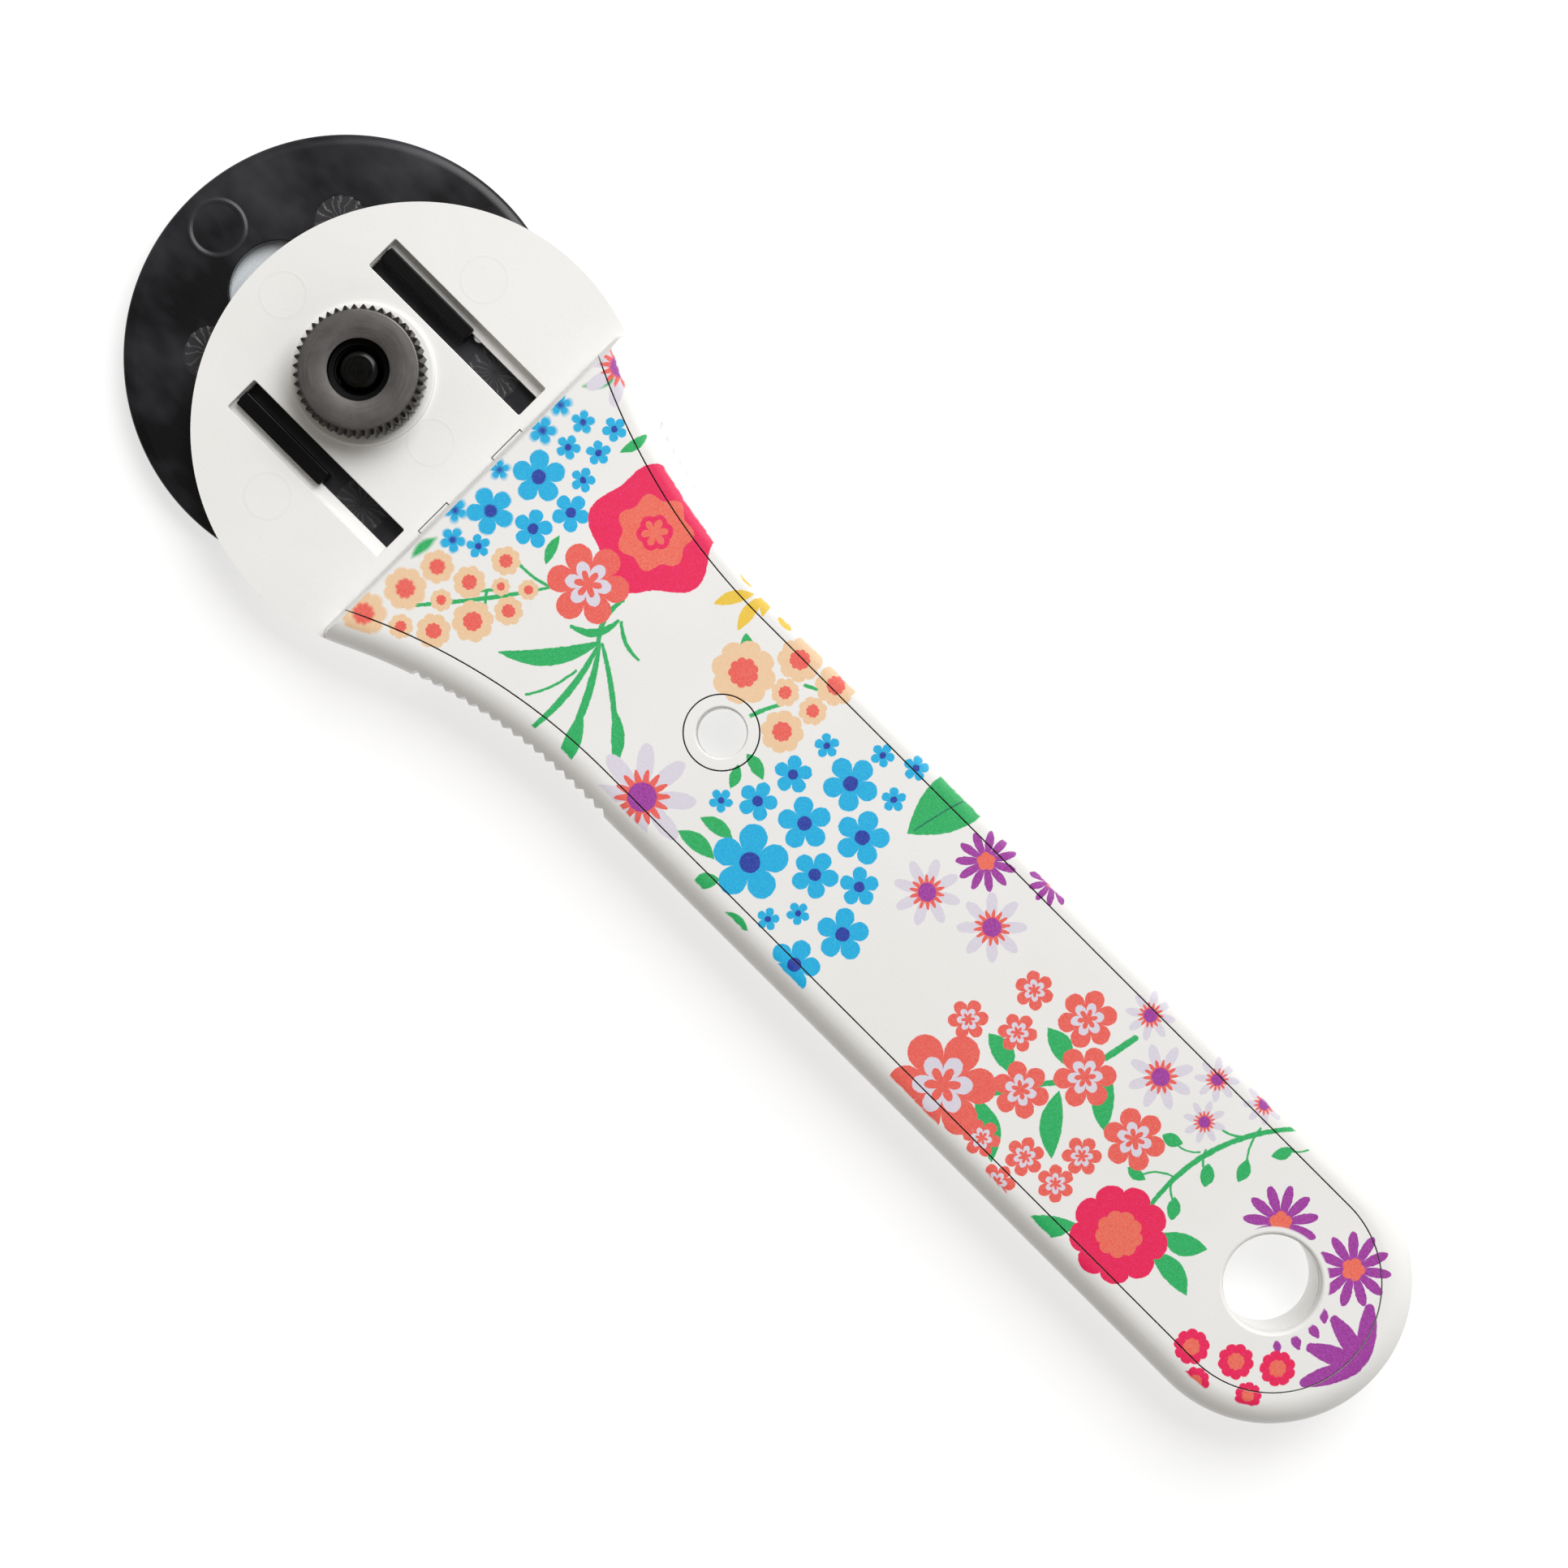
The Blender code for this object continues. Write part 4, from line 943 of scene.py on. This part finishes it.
def slot_cutters():
    """Two guide slots through the head plate, each with a sunk ledge along its outer side."""
    made = []
    for side in (1, -1):
        low, high = sorted((side * SLOT_INNER_Y, side * LEDGE_OUTER_Y))
        made.append(stack("ledge", rounded_box(SLOT_FRONT_X, SLOT_REAR_X, low, high, 0.2),
                          mouth(PLATE_TOP, SMALL_ROUND, LEDGE_Z)))
        low, high = sorted((side * SLOT_INNER_Y, side * SLOT_OUTER_Y))
        made.append(stack("slot", rounded_box(SLOT_FRONT_X, SLOT_REAR_X, low, high, 0.2),
                          [(0, PLATE_Z - OVER)] + quarter((0, LEDGE_Z - 0.1), (-0.1, LEDGE_Z + 0.003), 3, True)
                          + [(-0.1, LEDGE_Z + 0.4), (0, LEDGE_Z + 0.6)]))
    return made


def pockets():
    """The hollow of the grip under its cover: deep behind the guard's recess, shallow over it."""
    hollow = stack("pocket", lambda inset: handle_plan(SEAM_INSET + LEDGE_WIDTH),
                   [(0, FLOOR_THICKNESS), (0, SHELF_Z)])
    start = SLANT_TOP_X + COVER_LIP + CLEAR + LEDGE_WIDTH
    raised = block("raised", (-FAR, -FAR, -FAR), (RECESS_END_X + FLOOR_THICKNESS, FAR, PLATE_Z + FLOOR_THICKNESS))
    return cut(hollow, block("ahead", (-FAR, -FAR, -FAR), (start, FAR, FAR)), raised)


def cover_bed():
    """The space that the cover lies in, with the seam round it."""
    bed = stack("bed", lambda inset: handle_plan(SEAM_INSET - SEAM_GAP / 2 + inset),
                mouth(TOP, SEAM_ROUND, PLATE_TOP + 0.02))
    shelf = block("shelf", (SLANT_TOP_X + COVER_LIP + CLEAR, -FAR, -FAR), (FAR, FAR, SHELF_Z - CLEAR))
    return cut(bed, shelf, block("ahead", (-FAR, -FAR, -FAR), (STEP_FOOT_X - 0.6, FAR, FAR)))


def handle_body():
    path = quarter((FRONT_ROUND, 0), (0, FRONT_ROUND), 7, False)
    path += quarter((0, TOP - BACK_ROUND), (BACK_ROUND, TOP), 12, True)
    body = stack("body", handle_plan, path)
    cut(body, front_recess(), tooth_cutter(1), tooth_cutter(-1), pockets(), cover_bed(), step_cutter())
    join(body, stack("hang_tube", circle(HANG_HOLE_X, 0, HANG_HOLE_RADIUS + HANG_TUBE_WALL),
                     [(0, 1.0), (0, SHELF_Z - CLEAR)]))
    join(body, stack("small_tube", circle(SMALL_HOLE_X, 0, SMALL_HOLE_RADIUS + SMALL_TUBE_WALL, 72),
                     [(0, 1.0)] + quarter((0, TOP - SEAM_ROUND), (SEAM_ROUND, TOP), 3, True)))
    cut(body, stack("hang_hole", circle(HANG_HOLE_X, 0, HANG_HOLE_RADIUS), through_mouth(0, TOP, HOLE_ROUND)))
    cut(body, stack("small_hole", circle(SMALL_HOLE_X, 0, SMALL_HOLE_RADIUS, 72), through_mouth(0, TOP, 0.25)))
    for low, high in TAB_PLACES:
        cut(body, block("notch", (TAB_X - TAB_GAP, low - TAB_GAP, PLATE_TOP - TAB_DEPTH - CLEAR),
                        (SLANT_TOP_X + COVER_LIP + CLEAR, high + TAB_GAP, PLATE_TOP + OVER)))
    cut(body, *slot_cutters())
    dome = quarter((0, LEDGE_Z - 0.3 - DETENT_RADIUS / 2), (DETENT_RADIUS * 0.7, LEDGE_Z - 0.3), 4, True)
    join(body, stack("detent", circle(DETENT_X, DETENT_Y, DETENT_RADIUS, 32), [(0, PLATE_Z + CLEAR)] + dome))
    foot = quarter((SMALL_ROUND, GUARD_Z + 0.01), (0, GUARD_Z + SMALL_ROUND), 3, False)
    join(body, stack("front_boss", circle(0, 0, FRONT_BOSS_RADIUS),
                     [(SMALL_ROUND, GUARD_Z)] + foot + [(0, PLATE_Z + 1.5)]))
    join(body, stack("nut_boss", circle(0, 0, NUT_BOSS_RADIUS, 128),
                     [(0, PLATE_TOP - 1.5)] + quarter((0, NUT_BOSS_TOP - 0.3), (0.3, NUT_BOSS_TOP), 5, True)))
    cut(body, stack("bolt_bore", double_flat(NECK_ROUND_RADIUS + CLEAR, NECK_HALF_FLAT + CLEAR),
                    [(0, GUARD_Z - OVER), (0, NUT_BOSS_TOP + OVER)]))
    looks = [white_plastic("handle_plastic", marks=PIN_MARKS)] + PRINTED
    return finish(body, "handle_shell", "handle", "white_plastic", looks, "handle_body")


def back_cover():
    inset = SEAM_INSET + SEAM_GAP / 2
    cover = stack("cover", lambda more: handle_plan(inset + more),
                  [(0, PLATE_TOP + CLEAR)] + quarter((0, TOP - SEAM_ROUND), (SEAM_ROUND, TOP), 3, True))
    cut(cover, block("behind", (SLANT_TOP_X + COVER_LIP, -FAR, -FAR), (FAR, FAR, SHELF_Z)), step_cutter(),
        block("ahead", (-FAR, -FAR, -FAR), (STEP_FOOT_X, FAR, FAR)))
    for low, high in TAB_PLACES:
        tab = block("tab", (TAB_X, low, PLATE_TOP - TAB_DEPTH), (SLANT_TOP_X + 1.5, high, PLATE_TOP))
        root = block("root", (SLANT_TOP_X + 0.5, low, PLATE_TOP - 0.45), (SLANT_TOP_X + 1.5, high, SHELF_Z + 1.0))
        join(cover, join(tab, root))
    ring = SMALL_HOLE_RADIUS + SMALL_TUBE_WALL + SEAM_GAP
    cut(cover, stack("tube_hole", circle(SMALL_HOLE_X, 0, ring, 72), mouth(TOP, SEAM_ROUND, 0)))
    cut(cover, stack("hang_hole", circle(HANG_HOLE_X, 0, HANG_HOLE_RADIUS), mouth(TOP, HOLE_ROUND, 0, 6)))
    return finish(cover, "back_cover_plate", "handle", "printed_plastic", [white_plastic("cover_plastic")] + PRINTED,
                  "back_cover")


def blade_guard():
    """Disc with a sloping rim, a slot over the bolt, ejector marks and two hooked rails."""
    rim = GUARD_RIM_WIDTH
    profile = quarter((0.3, GUARD_Z), (0, GUARD_Z + 0.3), 4, False)
    profile += quarter((0, GUARD_TOP - GUARD_RIM_DROP - 0.1), (rim, GUARD_TOP), 12, True)
    disc = stack("guard_disc", circle(GUARD_X, 0, GUARD_RADIUS, 192), profile)
    slot = stadium(GUARD_X - GUARD_SLOT_REACH, GUARD_SLOT_RADIUS - FRONT_BOSS_RADIUS, GUARD_SLOT_RADIUS)
    cut(disc, stack("guard_slot", slot, through_mouth(GUARD_Z, GUARD_TOP, 0.2)))
    for x, y in EJECTOR_MARKS:
        cut(disc, stack("ejector", circle(GUARD_X + x, y, EJECTOR_RADIUS, 64),
                        mouth(GUARD_TOP, 0.04, GUARD_TOP - EJECTOR_DEPTH, 2)))
    low, high = GUARD_Z - 1, GUARD_Z + 0.25
    groove = [(GROOVE_OUTER, low), (GROOVE_OUTER, high), (GROOVE_INNER, high), (GROOVE_INNER, low)]
    cut(disc, turned("front_groove", softened(groove, 0.15), 192, True, GUARD_X))
    lip_z = LEDGE_Z + CLEAR
    for side in (1, -1):
        low, high = sorted((side * RAIL_INNER_Y, side * RAIL_OUTER_Y))
        crown = quarter((0, RAIL_TOP - 0.18), (0.18, RAIL_TOP), 4, True)
        leg = stack("leg", rounded_box(RAIL_FRONT_X, RAIL_REAR_X, low, high, 0.2), [(0, GUARD_TOP - 0.8)] + crown)
        low, high = sorted((side * (RAIL_INNER_Y + 0.002), side * RAIL_LIP_Y))
        lip = stack("lip", rounded_box(RAIL_FRONT_X + 0.002, RAIL_REAR_X - 0.002, low, high, 0.2),
                    [(0.1, lip_z), (0, lip_z + 0.1)] + crown)
        join(disc, join(leg, lip))
    return finish(disc, "guard_plate", "guard", "black_plastic", [black_plastic()], "blade_guard")


def blade():
    middle = (BLADE_Z + BLADE_TOP) / 2
    edge = 0.02
    flat = BLADE_RADIUS - BEVEL_WIDTH
    profile = [(BLADE_HOLE, BLADE_TOP - 0.03), (BLADE_HOLE + 0.03, BLADE_TOP), (flat, BLADE_TOP),
               (BLADE_RADIUS, middle + edge / 2), (BLADE_RADIUS, middle - edge / 2), (flat, BLADE_Z),
               (BLADE_HOLE + 0.03, BLADE_Z), (BLADE_HOLE, BLADE_Z + 0.03)]
    return finish(turned("disc", profile, 256, True), "blade_disc", "blade", "blade_steel", [blade_steel()], "blade",
                  angle=3)


def thread():
    """A bolt's shank with a right-hand thread, from the neck to a domed end."""
    around, low, high = 48, PLATE_Z, BOLT_TOP
    plain = PLATE_TOP + 0.4
    dome = 0.65
    steps = int((high - low) / 0.06)
    rings = []
    for k in range(steps + 1):
        z = low + (high - low) * k / steps
        ring = []
        for i in range(around):
            turn = tau * i / around
            phase = ((z - low) / THREAD_PITCH - turn / tau) % 1.0
            groove = THREAD_DEPTH * max(0.0, 1 - abs(phase - 0.5) / 0.42)
            radius = THREAD_RADIUS - groove * min(1.0, max(0.0, (z - plain) / 0.4))
            radius = min(radius, THREAD_RADIUS - 0.75 * (max(0.0, z - (high - dome)) / dome) ** 2.2)
            ring.append((radius * cos(turn), radius * sin(turn), z))
        rings.append(ring)
    return loft("thread", rings)


def bolt():
    """Low round head with a shallow dish, a collar for the blade, a flat-sided neck and a thread."""
    dish = [(0.05, 0.18), (4.6, 0.14), (5.4, 0.03), (5.9, 0.0)]
    head = quarter((BOLT_HEAD_RADIUS - 0.45, 0), (BOLT_HEAD_RADIUS, 0.45), 5, False)
    back = BOLT_HEAD_THICKNESS
    head += quarter((BOLT_HEAD_RADIUS, back - 0.2), (BOLT_HEAD_RADIUS - 0.2, back), 4, True)
    collar = [(COLLAR_RADIUS, back + 0.001), (COLLAR_RADIUS, BLADE_TOP - 0.1),
              (COLLAR_RADIUS - 0.1, BLADE_TOP), (0.05, BLADE_TOP)]
    made = turned("head", dish + head + collar, 128)
    neck = stack("neck", double_flat(NECK_ROUND_RADIUS, NECK_HALF_FLAT),
                 [(0, 0.8), (0, PLATE_TOP - 0.1), (0.1, PLATE_TOP)])
    join(made, neck, thread())
    steel = turned_steel("bolt_finish", (0.008, 0.008, 0.008), (0.04, 0.039, 0.038), 0.10, 0.24)
    return finish(made, "bolt_pin", "handle", "blackened_steel", [steel], "bolt")


def spring_washer():
    def lift(radius, z):
        return radius, z + WASHER_BOW * (1 - (radius / WASHER_RADIUS) ** 2) * 0.98
    inner, outer, steps = BORE_RADIUS, WASHER_RADIUS, 12
    radii = [inner + (outer - inner) * i / steps for i in range(steps + 1)]
    profile = [lift(r, WASHER_Z + WASHER_THICKNESS) for r in radii] + [lift(r, WASHER_Z) for r in reversed(radii)]
    steel = turned_steel("washer_finish", (0.40, 0.40, 0.41), (0.58, 0.58, 0.59), 0.22, 0.36)
    return finish(turned("ring", profile, 96, True), "spring_washer_ring", "washer", "spring_steel", [steel],
                  "spring_washer")


def nut():
    """A straight-knurled nut. The rings of its closed profile are pulled in where a tooth's flank runs."""
    edge = 0.07
    profile = [(NUT_WELL, NUT_Z), (NUT_RADIUS - 0.3, NUT_Z), (NUT_RADIUS, NUT_Z + 0.3),
               (NUT_RADIUS, NUT_TOP - 0.75), (NUT_FACE, NUT_TOP), (NUT_MOUTH, NUT_TOP),
               (NUT_MOUTH, NUT_TOP - NUT_MOUTH_DEPTH), (NUT_STEP, NUT_TOP - NUT_MOUTH_DEPTH),
               (NUT_STEP, NUT_TOP - NUT_MOUTH_DEPTH - NUT_STEP_DEPTH),
               (BORE_RADIUS, NUT_TOP - NUT_MOUTH_DEPTH - NUT_STEP_DEPTH),
               (BORE_RADIUS, NUT_Z + NUT_WELL_DEPTH), (NUT_WELL, NUT_Z + NUT_WELL_DEPTH)]
    around = 12 * NUT_TEETH
    rings = []
    for radius, z in softened(profile, edge, 3):
        ring = []
        for i in range(around):
            crest = acos(0.985 * cos(tau * i * NUT_TEETH / around)) / pi
            flank = NUT_RADIUS - (NUT_RADIUS - NUT_ROOT) * crest
            reach = min(radius, flank)
            turn = tau * i / around
            ring.append((reach * cos(turn), reach * sin(turn), z))
        rings.append(ring)
    steel = turned_steel("nut_finish", (0.085, 0.08, 0.078), (0.19, 0.18, 0.175), 0.28, 0.44, 9.0,
                         shade_within=NUT_MOUTH, dark_rim=NUT_FACE + 0.03)
    return finish(loft("nut", rings, True), "knurled_nut", "nut", "nut_steel", [steel], "nut")


# ---- studio

CAMERA_PLACE = (65.23, 0.88, 462.0)
CAMERA_LENS = 93.9
KEY_PLACE = (-80, 560, 760)
KEY_SIZE = 650
WORLD_STRENGTH = 0.46


def studio():
    """A camera straight above, a white floor, one big soft light from +Y, and a dome that is dimmer overhead."""
    camera = bpy.data.objects.new("Camera", bpy.data.cameras.new("Camera"))
    bpy.context.scene.collection.objects.link(camera)
    camera.data.lens = CAMERA_LENS
    camera.data.sensor_width = 36.0
    camera.data.clip_end = 10.0
    camera.location = Vector(CAMERA_PLACE) * MM
    camera.rotation_euler = (0.0, 0.0, radians(45))
    bpy.context.scene.camera = camera

    floor = block("floor", (-900, -900, -5.0), (1100, 900, -0.05))
    floor.data.materials.append(paper_floor())

    world = bpy.data.worlds.new("studio")
    world.use_nodes = True
    tree = world.node_tree
    _, y, z = separate(tree, tree.nodes.new("ShaderNodeTexCoord").outputs["Generated"])
    overhead = ramp(tree, z, 0.78, 0.95, 1.0, 0.42)
    far_side = ramp(tree, y, -0.8, 0.2, 0.42, 1.0)
    low_down = ramp(tree, z, 0.0, 0.4, 0.5, 1.0)
    glow = times(tree, times(tree, overhead, far_side), low_down)
    background = tree.nodes["Background"]
    feed(tree, background.inputs["Color"], mix(tree, ramp(tree, y, -0.5, 0.3), (1.0, 0.90, 0.79), (1.0, 1.0, 1.0)))
    feed(tree, background.inputs["Strength"], times(tree, glow, WORLD_STRENGTH))
    bpy.context.scene.world = world
    bpy.context.scene.view_settings.view_transform = "Standard"

    key = bpy.data.objects.new("key", bpy.data.lights.new("key", "AREA"))
    key.data.size = KEY_SIZE * MM
    key.data.energy = 8.7
    key.location = Vector(KEY_PLACE) * MM
    key.rotation_euler = (key.location - Vector((65, 0, 0)) * MM).to_track_quat("Z", "Y").to_euler()
    bpy.context.scene.collection.objects.link(key)


PRINTED = [white_plastic("print_zone", zone) for zone in range(PRINT_ZONES)]
studio()
handle_body()
back_cover()
blade_guard()
blade()
bolt()
spring_washer()
nut()
